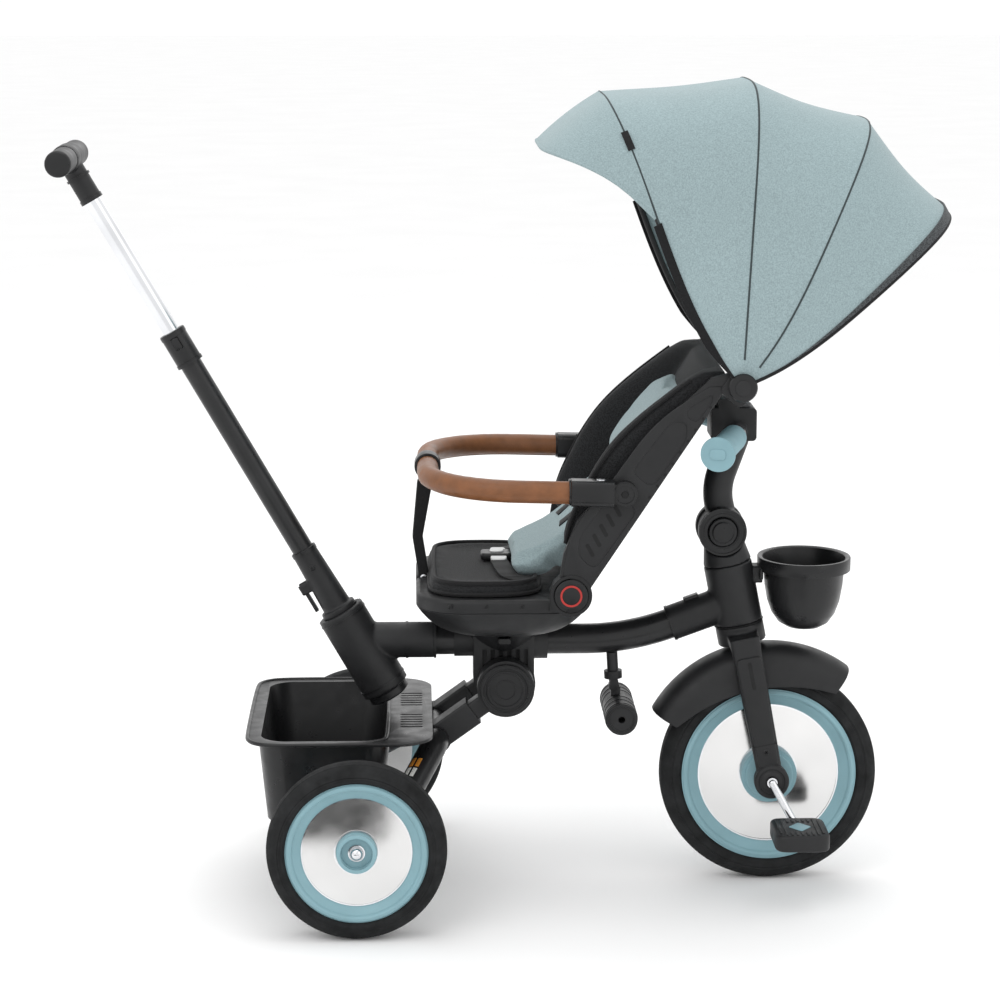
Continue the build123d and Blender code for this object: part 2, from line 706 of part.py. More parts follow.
with BuildPart() as rear_legs:
    for face in (-1, 1):
        leg = Plane(origin=(hub_x, face * leg_centre_y, hub_z), x_dir=(0, 1, 0), z_dir=leg_dir)
        with BuildSketch(side_plane(hub_x, hub_z, face * (bracket_half + GAP))):
            Circle(hub_radius)
        extrude(amount=-face * (leg_centre_y + leg_size / 2 - bracket_half))
        with BuildSketch(leg):
            RectangleRounded(leg_size, leg_size, 3)
        extrude(amount=60)
    with BuildSketch(side_plane(hub_x, hub_z, -60)):
        Circle(fold_pin_radius)
    extrude(amount=-120, mode=Mode.SUBTRACT)
with BuildPart() as leg_sleeves:
    for face in (-1, 1):
        leg = Plane(origin=(hub_x, face * leg_centre_y, hub_z), x_dir=(0, 1, 0), z_dir=leg_dir)
        with BuildSketch(leg.offset(46)):
            RectangleRounded(leg_sleeve_size, leg_sleeve_size, 3)
        extrude(amount=leg_length - 46)
        with BuildSketch(side_plane(arch_x, arch_z, face * (leg_centre_y - 14))):
            Circle(arch_radius + 2.6)
        extrude(amount=-face * 28)
leg_sleeves.part = leg_sleeves.part - arch_tube.part
rear_legs.part = rear_legs.part + leg_sleeves.part
save(rear_legs, "rear_legs")

hub_face = leg_centre_y + leg_size / 2 + GAP
with BuildPart() as fold_pin:
    across(hub_x, hub_z, fold_pin_radius, -hub_face, hub_face)
    for face in (-1, 1):
        with BuildSketch(side_plane(hub_x, hub_z, face * hub_face)):
            Circle(hub_cover_radius)
        extrude(amount=-face * 5)
        with BuildSketch(side_plane(hub_x, hub_z, face * (hub_face + 5))):
            Circle(hub_cover_radius - 5)
            Circle(hub_cover_radius - 7, mode=Mode.SUBTRACT)
        extrude(amount=face, mode=Mode.SUBTRACT)
save(fold_pin, "fold_pin")

with BuildPart() as rear_axles:
    for face in (-1, 1):
        with BuildSketch(side_plane(rear_axle_x, rear_radius, face * (arch_end_y - 18))):
            Circle(axle_radius)
        extrude(amount=-face * (half_track + rear_tyre_width / 2 - arch_end_y + 16))
        with BuildSketch(side_plane(rear_axle_x, rear_radius, face * (half_track + 11))):
            Circle(8)
        extrude(amount=-face * 8)
save(rear_axles, "rear_axles")

for side, face in (("right", -1), ("left", 1)):
    with BuildPart() as rear_tyre:
        turned(tyre_outline(rear_radius, rear_rim_radius, half_track, rear_tyre_width),
               rear_axle_x, rear_radius, face)
    save(rear_tyre, f"rear_tyre_{side}")
    with BuildPart() as rear_rim:
        turned(rim_outline(rear_rim_radius, rear_disc_radius, rear_hub_radius, half_track,
                           rear_tyre_width - 3, axle_radius + FIT), rear_axle_x, rear_radius, face)
        with BuildSketch(side_plane(rear_axle_x, rear_radius, face * (half_track + 10))):
            Circle(rear_hub_radius - 4)
        extrude(amount=-face * 20, mode=Mode.SUBTRACT)
    save(rear_rim, f"rear_rim_{side}")
    with BuildPart() as rear_discs:
        for y in (-10.6, 9.1):
            turned(disc_outline(rear_disc_radius, rear_hub_radius, half_track + y),
                   rear_axle_x, rear_radius, face)
    save(rear_discs, f"rear_discs_{side}")

basket_length = basket_wall_x - basket_x0 - basket_rim
basket_mid_x = (basket_x0 + basket_rim + basket_wall_x) / 2


def basket_section(z, shrink):
    """Rounded rectangle of the basket at height z, smaller by shrink all round."""
    with BuildSketch(Plane.XY.offset(z).shift_origin((basket_mid_x, 0, z))) as section:
        RectangleRounded(basket_length - 2 * shrink, 2 * (basket_half_width - basket_rim - shrink), 30)
    return section.sketch


with BuildPart() as rear_basket:
    with BuildSketch(Plane.XY.offset(basket_top_z - basket_wall)):
        with Locations(((basket_x0 + basket_x1) / 2, 0)):
            RectangleRounded(basket_x1 - basket_x0, 2 * basket_half_width, 42)
    extrude(amount=basket_wall)
    loft([basket_section(basket_top_z - 1, 0), basket_section(basket_bottom_z, 9)])
    loft([basket_section(basket_top_z, basket_wall),
          basket_section(basket_bottom_z + basket_wall, 9 + basket_wall)], mode=Mode.SUBTRACT)
    with BuildSketch(Plane.XY.offset(basket_top_z)):
        with Locations(((basket_wall_x + basket_x1) / 2, -50), ((basket_wall_x + basket_x1) / 2, 50)):
            with GridLocations(1, 11, 1, 6):
                SlotCenterToCenter(22, 4)
    extrude(amount=-basket_wall, mode=Mode.SUBTRACT)
save(rear_basket, "rear_basket")

# ---------------------------------------------------------------- seat
strap_foot_x, strap_foot_z = -89.0, pan_top_z - 1.5
strap_foot_radius = 7.5
strap_half_width = 9.0

pan_mid_x = (pan_x0 + pan_x1) / 2
pan_length = pan_x1 - pan_x0


def pan_section(z, shrink_x, shrink_y, corner):
    """Rounded rectangle of the seat pan at height z."""
    with BuildSketch(Plane.XY.offset(z).shift_origin((pan_mid_x, 0, z))) as section:
        RectangleRounded(pan_length - 2 * shrink_x, 2 * (pan_half_width - shrink_y), corner)
    return section.sketch


with BuildPart() as seat_cover:
    pan_middle_z = (pan_bottom_z + pan_seam_z) / 2
    loft([pan_section(pan_seam_z - GAP, 0, 0, 55), pan_section(pan_middle_z, 14, 12, 50),
          pan_section(pan_bottom_z, 44, 46, 40)])
    loft([pan_section(pan_seam_z - GAP, 4, 4, 51), pan_section(pan_middle_z + 3, 18, 16, 46),
          pan_section(pan_bottom_z + 4, 48, 50, 36)], mode=Mode.SUBTRACT)
    with BuildSketch(Plane.XY.offset(cone_top_z + GAP).shift_origin((seat_axis_x, 0, cone_top_z + GAP))):
        Circle(cone_top_radius - 4)
    extrude(amount=pan_bottom_z - cone_top_z + 1)
save(seat_cover, "seat_cover")

with BuildPart() as seat_pan:
    extrude(pan_section(pan_seam_z, 0, 0, 55), amount=pan_top_z - pan_seam_z)
    fillet(seat_pan.faces().sort_by(Axis.Z)[-1].edges(), 5)
    for face in (-1, 1):
        with BuildSketch(side_plane(recline_x, recline_z, face * ear_inner)):
            Circle(recline_z - pan_seam_z - GAP)
            with Locations((-8, -8)):
                Rectangle(30, 24)
        extrude(amount=-face * (wing_inner - GAP - ear_inner))
        with BuildSketch(side_plane(recline_x, recline_z, face * ear_inner)):
            Circle(6)
        extrude(amount=-face * (wing_inner + 2 - ear_inner))
    extrude(pan_section(pan_seam_z - 1, 6, 6, 49), amount=6, mode=Mode.SUBTRACT)
    with BuildSketch(Plane.XY.offset(pan_top_z + 1).shift_origin((strap_foot_x, 0, pan_top_z + 1))):
        Rectangle(2 * strap_foot_radius + 8, 2 * (strap_half_width + GAP))
    extrude(amount=-strap_foot_radius - 4, mode=Mode.SUBTRACT)
    across(strap_foot_x, strap_foot_z, 3, -strap_half_width - 2, strap_half_width + 2)
save(seat_pan, "seat_pan")

with BuildPart() as seat_cushion:
    with BuildSketch(side_plane(0, 0, -cushion_half_width)):
        with BuildLine():
            Polyline((-80, pan_top_z + GAP), (44, pan_top_z + GAP), (44, 378), (20, 379), (-40, 381),
                     (-84, 382), close=True)
        make_face()
    extrude(amount=-2 * cushion_half_width)
    fillet(seat_cushion.edges().filter_by(Axis.Y), 6)
    with BuildSketch(side_plane(0, 0, -cushion_half_width + 22)):
        with BuildLine():
            Polyline((-120, 400), (80, 400), (80, 373), (-60, 375), (-120, 378), close=True)
        make_face()
    extrude(amount=-2 * (cushion_half_width - 22), mode=Mode.SUBTRACT)
save(seat_cushion, "seat_cushion")

# ---------------------------------------------------------------- backrest, in its own leaning plane
wing_profile = [(0, -13.5), (285, -13.5), (pivot_a + 12, pivot_b + 4), (pivot_a + 8, pivot_b + 16),
                (288, 6), (222, 23), (139, 34), (73, 41), (34, 33), (6, 20)]


def back_block(points, y0, y1, mode=Mode.ADD):
    """Extrude an outline drawn in the backrest plane from y0 to y1."""
    with BuildSketch(back.offset(-y0)) as outline:
        with BuildLine():
            Polyline(*points, close=True)
        make_face()
    extrude(outline.sketch, amount=-(y1 - y0), mode=mode)


def back_disc(a, b, radius, y0, y1, mode=Mode.ADD):
    """A disc across the backrest at (a, b) from y0 to y1."""
    with BuildSketch(back.offset(-y0)) as outline:
        with Locations((a, b)):
            Circle(radius)
    extrude(outline.sketch, amount=-(y1 - y0), mode=mode)


pin_end = gore_inner + 3 * gore_step
bumper_eye_radius = 4.0
bumper_eye = back.to_local_coords(Vector(bumper_x, 0, bumper_z))
with BuildPart() as backrest_shell:
    back_block([(25, -13.5), (285, -13.5), (296, -7.5), (25, -7.5)], -wing_inner - 1, wing_inner + 1)
    for face in (-1, 1):
        low, high = sorted((face * wing_inner, face * wing_outer))
        back_block(wing_profile, low, high)
        back_disc(0, 0, hub_cap_radius, low, high)
        back_disc(pivot_a, pivot_b, 16, low, high)
        pin_low, pin_high = sorted((face * (wing_outer - 1), face * pin_end))
        back_disc(pivot_a, pivot_b, 5, pin_low, pin_high)
        cap_low, cap_high = sorted((face * pin_end, face * (pin_end + 3)))
        back_disc(pivot_a, pivot_b, 9, cap_low, cap_high)
        eye_low, eye_high = sorted((face * (wing_outer - 1), face * (bumper_y + 7.5)))
        back_disc(bumper_eye.X, bumper_eye.Y, bumper_eye_radius, eye_low, eye_high)
        back_disc(0, 0, 6 + GAP, low, high, mode=Mode.SUBTRACT)
        pocket_low, pocket_high = sorted((face * (wing_inner + 2.4), face * (wing_outer + 1)))
        back_disc(0, 0, button_radius + GAP, pocket_low, pocket_high, mode=Mode.SUBTRACT)
        for step in range(5):
            with BuildSketch(back.offset(-face * (wing_outer + 1))):
                with Locations((56 + 14 * step, 18)):
                    SlotCenterToCenter(9, 4.5, rotation=20)
            extrude(amount=face * 3.5, mode=Mode.SUBTRACT)
save(backrest_shell, "backrest_shell")

for side, face in (("right", -1), ("left", 1)):
    low, high = sorted((face * (wing_inner + 6), face * (wing_outer + 4)))
    with BuildPart() as recline_button:
        back_disc(0, 0, button_radius, low, high)
        with BuildSketch(back.offset(-face * (wing_outer + 4))):
            Circle(12)
            Circle(10, mode=Mode.SUBTRACT)
        extrude(amount=face * 0.8, mode=Mode.SUBTRACT)
    save(recline_button, f"recline_button_{side}")

pad_half = wing_inner - 1
with BuildPart() as backrest_pad:
    back_block([(34, -7.5), (292, -7.5), (303, 6), (297, 15), (261, 23), (213, 38), (175, 53), (132, 55),
                (84, 49), (52, 48), (36, 38)], -pad_half, pad_half)
    back_block([(30, 13), (310, 13), (310, 80), (30, 80)], -96, 96, mode=Mode.SUBTRACT)
save(backrest_pad, "backrest_pad")

with BuildPart() as head_cushion:
    back_block([(129, 13 + FIT), (258, 13 + FIT), (258, 31), (240, 38), (150, 45), (129, 42)], -92, 92)
    fillet(head_cushion.edges().filter_by(Axis.Y), 5)
save(head_cushion, "head_cushion")

with BuildPart() as body_cushion:
    back_block([(38, 13 + FIT), (122, 13 + FIT), (122, 28), (70, 42), (26, 58), (20, 44)], -90, 90)
    fillet(body_cushion.edges().filter_by(Axis.Y), 5)
save(body_cushion, "body_cushion")

# ---------------------------------------------------------------- bumper bar and crotch strap
with BuildPart() as bumper_bar:
    with BuildLine() as bumper_path:
        FilletPolyline((bumper_x - bumper_tube_back, -bumper_y, bumper_z),
                       (bumper_front_x, -bumper_y, bumper_front_z), (bumper_front_x, bumper_y, bumper_front_z),
                       (bumper_x - bumper_tube_back, bumper_y, bumper_z), radius=bumper_corner)
    with BuildSketch(Plane(origin=bumper_path.line @ 0, z_dir=bumper_path.line % 0)):
        Circle(bumper_radius)
        Circle(bumper_radius - 2.5, mode=Mode.SUBTRACT)
    sweep(path=bumper_path.line)
save(bumper_bar, "bumper_bar")

eye_inner, eye_outer = wing_outer + GAP, bumper_y + 8
with BuildPart() as bumper_ends:
    for face in (-1, 1):
        slope = Vector(bumper_x - bumper_front_x, 0, bumper_z - bumper_front_z).normalized()
        end_start = Vector(bumper_socket_x, face * bumper_y, bumper_z + (bumper_x - bumper_socket_x) * 0.0255)
        with BuildSketch(Plane(origin=end_start, x_dir=(0, 1, 0), z_dir=slope)):
            RectangleRounded(2 * bumper_radius + 4, 2 * bumper_radius + 5, 7)
        extrude(amount=bumper_x - bumper_socket_x - 12)
        with BuildSketch(side_plane(bumper_x, bumper_z, face * eye_inner)):
            Circle(14)
            with Locations((-10, 0)):
                Rectangle(20, 22)
        extrude(amount=-face * (eye_outer - eye_inner))
        with BuildSketch(side_plane(bumper_x, bumper_z, face * (eye_inner - 1))):
            Circle(bumper_eye_radius + FIT)
        extrude(amount=-face * 20, mode=Mode.SUBTRACT)
wing_block = Box(260, 2 * (wing_outer + GAP), 400).move(Location((225, 0, bumper_z)))
bumper_ends.part = bumper_ends.part - wing_block - bumper_bar.part

with BuildPart() as bumper_ring:
    with BuildSketch(Plane.XZ.offset(12)):
        with Locations((bumper_front_x, bumper_front_z)):
            Circle(bumper_radius + 3.2)
            Circle(bumper_radius, mode=Mode.SUBTRACT)
    extrude(amount=-24)
bumper_fittings = bumper_ends
bumper_fittings.part = Part(children=[*bumper_ends.part.solids(), *bumper_ring.part.solids()])
save(bumper_fittings, "bumper_fittings")

strap_top_z = bumper_front_z - bumper_radius - 3.2 - 1.6
with BuildPart() as crotch_strap:
    with BuildSketch(side_plane(0, 0, -9)):
        with BuildLine():
            Polyline((strap_foot_x - 6, strap_foot_z + 4), (-102, 410), (-96, strap_top_z),
                     (-78, strap_top_z), (-90, 410), (strap_foot_x + 6, strap_foot_z + 4), close=True)
        make_face()
    extrude(amount=-18)
    across(strap_foot_x, strap_foot_z, strap_foot_radius, -9, 9)
    with BuildSketch(side_plane(strap_foot_x, strap_foot_z, -10)):
        Circle(3 + GAP)
    extrude(amount=-20, mode=Mode.SUBTRACT)
save(crotch_strap, "crotch_strap")

# ---------------------------------------------------------------- canopy
pivot_axis = Axis((canopy_pivot.X, 0, canopy_pivot.Z), (0, 1, 0))


def wedge(radius, half_width, start, end, inner_radius, mode=Mode.ADD):
    """Revolve a gore's U-shaped section about the pivot, from angle start to angle end above +X.

    The section goes out from one pivot, round the corner, across and back to the other pivot.
    """
    turn = radians(start)
    frame = Plane(origin=(canopy_pivot.X, 0, canopy_pivot.Z), x_dir=(0, 1, 0),
                  z_dir=(sin(turn), 0, -cos(turn)))
    corner = canopy_corner
    with BuildSketch(frame) as section:
        with Locations((0, radius / 2)):
            RectangleRounded(2 * half_width, radius, corner)
        with Locations((0, corner / 2)):
            Rectangle(2 * half_width, corner)
        with Locations((0, (radius - canopy_wall) / 2)):
            RectangleRounded(2 * (half_width - canopy_wall), radius - canopy_wall, corner - canopy_wall,
                             mode=Mode.SUBTRACT)
        with Locations((0, corner / 2)):
            Rectangle(2 * (half_width - canopy_wall), corner, mode=Mode.SUBTRACT)
        with Locations((0, inner_radius / 2)):
            Rectangle(2 * half_width + 2, inner_radius, mode=Mode.SUBTRACT)
    revolve(section.sketch, axis=Axis((canopy_pivot.X, 0, canopy_pivot.Z), (0, -1, 0)),
            revolution_arc=end - start, mode=mode)


def pivot_eyes(half_width, radius=11.0):
    """Eyelets of a bow around the pivot pins."""
    for face in (-1, 1):
        low, high = sorted((face * (half_width - canopy_wall), face * half_width))
        across(canopy_pivot.X, canopy_pivot.Z, radius, low, high)
        with BuildSketch(side_plane(canopy_pivot.X, canopy_pivot.Z, low - 1)) as hole:
            Circle(5 + GAP)
        extrude(hole.sketch, amount=-(canopy_wall + 2), mode=Mode.SUBTRACT)


front_half_width = gore_inner + canopy_wall + gore_step * 2
with BuildPart() as visor:
    wedge(gore_radii[2], front_half_width, bow_angles[3], visor_angle, 60)
    with BuildSketch(side_plane(0, 0, -300)):
        with BuildLine():
            Polyline((300, 786), (158, 786), (50, 858), (-200, 858), (-200, 500), (300, 500), close=True)
        make_face()
    extrude(amount=-600, mode=Mode.SUBTRACT)

names = ("rear", "middle", "front")
for number, name in enumerate(names):
    radius = gore_radii[number]
    half_width = gore_inner + canopy_wall + gore_step * number
    start, end = bow_angles[number], bow_angles[number + 1]
    with BuildPart() as bow:
        wedge(radius, half_width, end - bow_width_angle, end, 9)
        pivot_eyes(half_width)
    save(bow, f"canopy_bow_{name}")
    with BuildPart() as gore:
        wedge(radius, half_width, start, end - bow_width_angle, 14)
    if name == "front":
        gore.part = gore.part + visor.part
    save(gore, f"canopy_{name}")
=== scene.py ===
"""Looks of a folding push tricycle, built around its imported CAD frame."""
import json
import math

import bpy
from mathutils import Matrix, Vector, noise
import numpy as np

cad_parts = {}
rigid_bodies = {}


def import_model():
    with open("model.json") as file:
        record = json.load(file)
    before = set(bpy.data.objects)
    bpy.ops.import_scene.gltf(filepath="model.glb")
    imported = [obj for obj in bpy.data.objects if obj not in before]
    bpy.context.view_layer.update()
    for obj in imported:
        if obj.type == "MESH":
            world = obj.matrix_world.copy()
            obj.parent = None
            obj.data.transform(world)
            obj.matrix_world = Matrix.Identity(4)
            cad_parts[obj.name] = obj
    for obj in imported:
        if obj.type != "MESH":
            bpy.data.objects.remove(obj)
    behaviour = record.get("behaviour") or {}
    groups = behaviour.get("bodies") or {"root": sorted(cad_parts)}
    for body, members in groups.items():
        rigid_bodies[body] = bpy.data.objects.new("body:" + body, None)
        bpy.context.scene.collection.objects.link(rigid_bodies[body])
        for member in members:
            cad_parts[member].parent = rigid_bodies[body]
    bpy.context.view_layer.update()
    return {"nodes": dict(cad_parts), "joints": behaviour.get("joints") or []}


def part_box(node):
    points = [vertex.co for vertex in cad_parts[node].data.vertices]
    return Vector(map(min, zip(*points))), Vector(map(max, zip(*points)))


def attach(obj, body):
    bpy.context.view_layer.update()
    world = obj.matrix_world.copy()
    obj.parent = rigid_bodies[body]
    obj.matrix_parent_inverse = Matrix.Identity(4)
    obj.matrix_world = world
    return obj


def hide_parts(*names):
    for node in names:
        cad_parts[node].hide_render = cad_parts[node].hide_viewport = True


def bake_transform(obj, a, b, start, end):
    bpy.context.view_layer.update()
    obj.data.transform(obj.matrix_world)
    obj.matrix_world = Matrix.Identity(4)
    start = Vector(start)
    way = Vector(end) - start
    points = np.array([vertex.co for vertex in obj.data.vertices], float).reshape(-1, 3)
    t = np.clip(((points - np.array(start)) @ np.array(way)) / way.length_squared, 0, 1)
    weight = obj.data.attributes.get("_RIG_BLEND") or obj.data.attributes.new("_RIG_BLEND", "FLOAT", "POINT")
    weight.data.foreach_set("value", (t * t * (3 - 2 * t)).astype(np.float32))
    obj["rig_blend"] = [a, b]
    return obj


bl_info = {
    "name": "Push tricycle",
    "version": (1, 0, 0),
    "blender": (4, 5, 0),
    "location": "3D View > Sidebar > Tricycle",
    "description": "Adds the visible pieces of a folding push tricycle around its frame",
    "category": "Add Mesh",
}

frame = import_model()
MM = 0.001
JOINTS = {joint["name"]: joint for joint in frame["joints"]}


def joint_point(name):
    """Where a joint turns, in metres."""
    return Vector(JOINTS[name]["pos_m"])


# ---------------------------------------------------------------- leaning frames of the object
HEAD_FOOT = joint_point("steer")
HEAD_UP = Vector(JOINTS["steer"]["axis"])
PUSH_FOOT = joint_point("push_steer")
PUSH_UP = Vector(JOINTS["push_steer"]["axis"])
RECLINE = joint_point("recline")
CANOPY = joint_point("canopy_fold_rear")
STEM_HUB = joint_point("stem_fold")
FOLD_HUB = joint_point("frame_fold")
BUMPER_EYE = joint_point("bumper_level")
FRONT_AXLE = joint_point("front_wheel")
REAR_AXLE = joint_point("rear_wheel_right")
BACK_LEAN = math.radians(56.5)
BACK_UP = Vector((math.cos(BACK_LEAN), 0, math.sin(BACK_LEAN)))
BACK_OUT = Vector((-math.sin(BACK_LEAN), 0, math.cos(BACK_LEAN)))
ACROSS = Vector((0, 1, 0))


def on_back(a, b, y=0.0):
    """A point a mm up the backrest, b mm in front of it and y mm across."""
    return RECLINE + BACK_UP * (a * MM) + BACK_OUT * (b * MM) + ACROSS * (y * MM)


def on_push(q, x=0.0, y=0.0):
    """A point q mm up the push handle, x mm towards the front and y mm across."""
    side = ACROSS.cross(PUSH_UP)
    return PUSH_FOOT + PUSH_UP * (q * MM) + side * (x * MM) + ACROSS * (y * MM)


def on_head(s, x=0.0, y=0.0):
    """A point s mm up the steering axis from the front axle, x mm forwards and y mm across."""
    side = ACROSS.cross(HEAD_UP)
    return HEAD_FOOT + HEAD_UP * (s * MM) + side * (x * MM) + ACROSS * (y * MM)


def point(x, y, z):
    """A point given in millimetres."""
    return Vector((x, y, z)) * MM


# ---------------------------------------------------------------- materials
class Finish:
    """A material whose colour, gloss and relief come from nodes on Object coordinates."""

    def __init__(self, name, colour, roughness, metallic=0.0):
        self.material = bpy.data.materials.new(name)
        self.material.use_nodes = True
        tree = self.material.node_tree
        self.nodes, self.links = tree.nodes, tree.links
        self.shader = self.nodes["Principled BSDF"]
        self.shader.inputs["Base Color"].default_value = (*colour, 1)
        self.shader.inputs["Roughness"].default_value = roughness
        self.shader.inputs["Metallic"].default_value = metallic
        self.place = self.nodes.new("ShaderNodeTexCoord").outputs["Object"]
        self.normal = None

    def grain(self, scale, detail=3.0, stretch=(1, 1, 1), turn=(0, 0, 0)):
        """Noise of a given size, stretched and turned with a Mapping node."""
        mapping = self.nodes.new("ShaderNodeMapping")
        mapping.inputs["Scale"].default_value = stretch
        mapping.inputs["Rotation"].default_value = turn
        self.links.new(self.place, mapping.inputs["Vector"])
        texture = self.nodes.new("ShaderNodeTexNoise")
        texture.inputs["Scale"].default_value = scale
        texture.inputs["Detail"].default_value = detail
        self.links.new(mapping.outputs["Vector"], texture.inputs["Vector"])
        return texture.outputs["Fac"]

    def cells(self, scale, feature="F1", stretch=(1, 1, 1)):
        """Voronoi cells, for leather pebbles and mesh holes."""
        mapping = self.nodes.new("ShaderNodeMapping")
        mapping.inputs["Scale"].default_value = stretch
        self.links.new(self.place, mapping.inputs["Vector"])
        texture = self.nodes.new("ShaderNodeTexVoronoi")
        texture.feature = feature
        texture.inputs["Scale"].default_value = scale
        self.links.new(mapping.outputs["Vector"], texture.inputs["Vector"])
        return texture.outputs["Distance"]

    def waves(self, scale, direction="X", distortion=0.0):
        """Parallel ridges, for ribs, weave and brushed lines."""
        texture = self.nodes.new("ShaderNodeTexWave")
        texture.bands_direction = direction
        texture.inputs["Scale"].default_value = scale
        texture.inputs["Distortion"].default_value = distortion
        self.links.new(self.place, texture.inputs["Vector"])
        return texture.outputs["Fac"]

    def spread(self, value, low, high, start=0.3, end=0.7):
        """Rescale a texture from start..end to low..high."""
        node = self.nodes.new("ShaderNodeMapRange")
        node.inputs["From Min"].default_value = start
        node.inputs["From Max"].default_value = end
        node.inputs["To Min"].default_value = low
        node.inputs["To Max"].default_value = high
        self.links.new(value, node.inputs["Value"])
        return node.outputs["Result"]

    def joined(self, first, second, how="MULTIPLY"):
        """Two textures combined into one."""
        node = self.nodes.new("ShaderNodeMath")
        node.operation = how
        self.links.new(first, node.inputs[0])
        self.links.new(second, node.inputs[1])
        return node.outputs["Value"]

    def tint(self, value, dark, light):
        """Colour that runs from dark to light with a texture."""
        node = self.nodes.new("ShaderNodeMix")
        node.data_type = "RGBA"
        node.inputs["A"].default_value = (*dark, 1)
        node.inputs["B"].default_value = (*light, 1)
        self.links.new(value, node.inputs["Factor"])
        self.links.new(node.outputs["Result"], self.shader.inputs["Base Color"])

    def gloss(self, value, low, high, start=0.3, end=0.7):
        """Roughness that varies with a texture."""
        self.links.new(self.spread(value, low, high, start, end), self.shader.inputs["Roughness"])

    def relief(self, value, depth, strength=1.0):
        """Bump of a depth in millimetres, laid over any earlier bump."""
        node = self.nodes.new("ShaderNodeBump")
        node.inputs["Distance"].default_value = depth * MM
        node.inputs["Strength"].default_value = strength
        self.links.new(value, node.inputs["Height"])
        if self.normal:
            self.links.new(self.normal, node.inputs["Normal"])
        self.normal = node.outputs["Normal"]
        self.links.new(self.normal, self.shader.inputs["Normal"])

    def set(self, **values):
        """Constant values on the shader's own sockets."""
        for socket, value in values.items():
            self.shader.inputs[socket.replace("_", " ")].default_value = value


def scaled(colour, factor):
    """A colour made darker or lighter."""
    return tuple(min(1.0, channel * factor) for channel in colour)


def moulded_plastic(name, colour, roughness=0.46, grain=1500, depth=0.05, spread=0.16):
    """Injection-moulded plastic with a fine spark-eroded grain and faint handling marks."""
    skin = Finish(name, colour, roughness)
    broad = skin.grain(22, 4)
    skin.tint(skin.spread(broad, 0, 1), scaled(colour, 1 - spread), scaled(colour, 1 + spread))
    skin.gloss(skin.grain(60, 5), roughness - 0.07, roughness + 0.09)
    skin.relief(skin.grain(grain, 2), depth, 0.35)
    skin.relief(broad, 0.3, 0.1)
    skin.set(Specular_IOR_Level=0.36)
    return skin.material


def painted_tube(name, colour):
    """Satin powder coat with a slight orange peel."""
    paint = Finish(name, colour, 0.34)
    paint.tint(paint.spread(paint.grain(30), 0, 1), scaled(colour, 0.8), scaled(colour, 1.25))
    paint.gloss(paint.grain(90, 4), 0.27, 0.42)
    paint.relief(paint.grain(650, 2), 0.06, 0.25)
    paint.set(Coat_Weight=0.12, Coat_Roughness=0.2, Specular_IOR_Level=0.35)
    return paint.material


def polished_metal(name, colour, roughness=0.09):
    """Bright plated metal with fine wipe marks."""
    metal = Finish(name, colour, roughness, 1.0)
    wipes = metal.grain(70, 4, (1, 9, 1))
    metal.gloss(wipes, roughness * 0.6, roughness * 1.9)
    metal.tint(metal.spread(metal.grain(18, 2), 0, 1), scaled(colour, 0.93), scaled(colour, 1.05))
    metal.relief(wipes, 0.02, 0.08)
    return metal.material


def mirror_film(name, colour):
    """Metallised plastic disc: a mirror with a little waviness."""
    film = Finish(name, colour, 0.12, 1.0)
    film.gloss(film.grain(35, 3), 0.1, 0.16)
    film.tint(film.spread(film.grain(12, 2), 0, 1), scaled(colour, 0.95), scaled(colour, 1.04))
    film.relief(film.grain(14, 1), 0.35, 0.12)
    return film.material


def foam_tyre(name, colour):
    """Closed-cell foam rubber: matte, finely pitted, dusty on the tread."""
    foam = Finish(name, colour, 0.82)
    pits = foam.cells(900)
    foam.tint(foam.spread(foam.grain(45, 5), 0, 1), scaled(colour, 0.8), scaled(colour, 1.7))
    foam.gloss(foam.grain(120, 3), 0.72, 0.92)
    foam.relief(pits, 0.18, 0.4)
    foam.relief(foam.grain(260, 3), 0.2, 0.25)
    foam.set(Specular_IOR_Level=0.2)
    return foam.material


def leatherette(name, colour):
    """Brown leatherette with pebbled grain, creases and random darker and lighter patches."""
    hide = Finish(name, colour, 0.42)
    pebbles = hide.cells(520, "SMOOTH_F1")
    patches = hide.grain(75, 6)
    hide.tint(hide.spread(patches, 0, 1), scaled(colour, 0.86), scaled(colour, 1.16))
    hide.gloss(patches, 0.34, 0.5)
    hide.relief(pebbles, 0.35, 0.5)
    hide.relief(hide.grain(160, 4, (1, 1, 2.2)), 0.5, 0.3)
    hide.set(Specular_IOR_Level=0.35)
    return hide.material


def heathered_cloth(name, colour, contrast=0.2, sheen=0.12):
    """Plain-woven polyester of two-tone yarn: flecks along both threads and a soft sheen."""
    cloth = Finish(name, colour, 0.88)
    warp = cloth.grain(1250, 2, (1, 1, 0.35))
    weft = cloth.grain(1350, 2, (0.35, 0.35, 1.2))
    flecks = cloth.joined(cloth.spread(warp, 0, 1, 0.34, 0.66), cloth.spread(weft, 0, 1, 0.34, 0.66), "ADD")
    fade = cloth.grain(9, 3)
    mixed = cloth.joined(cloth.spread(flecks, 0, 0.86, 0.3, 1.7), cloth.spread(fade, 0, 0.14), "ADD")
    cloth.tint(mixed, scaled(colour, 1 - contrast), scaled(colour, 1 + contrast))
    cloth.relief(warp, 0.2, 0.45)
    cloth.relief(weft, 0.2, 0.45)
    cloth.set(Sheen_Weight=sheen, Sheen_Roughness=0.5, Specular_IOR_Level=0.2)
    return cloth.material


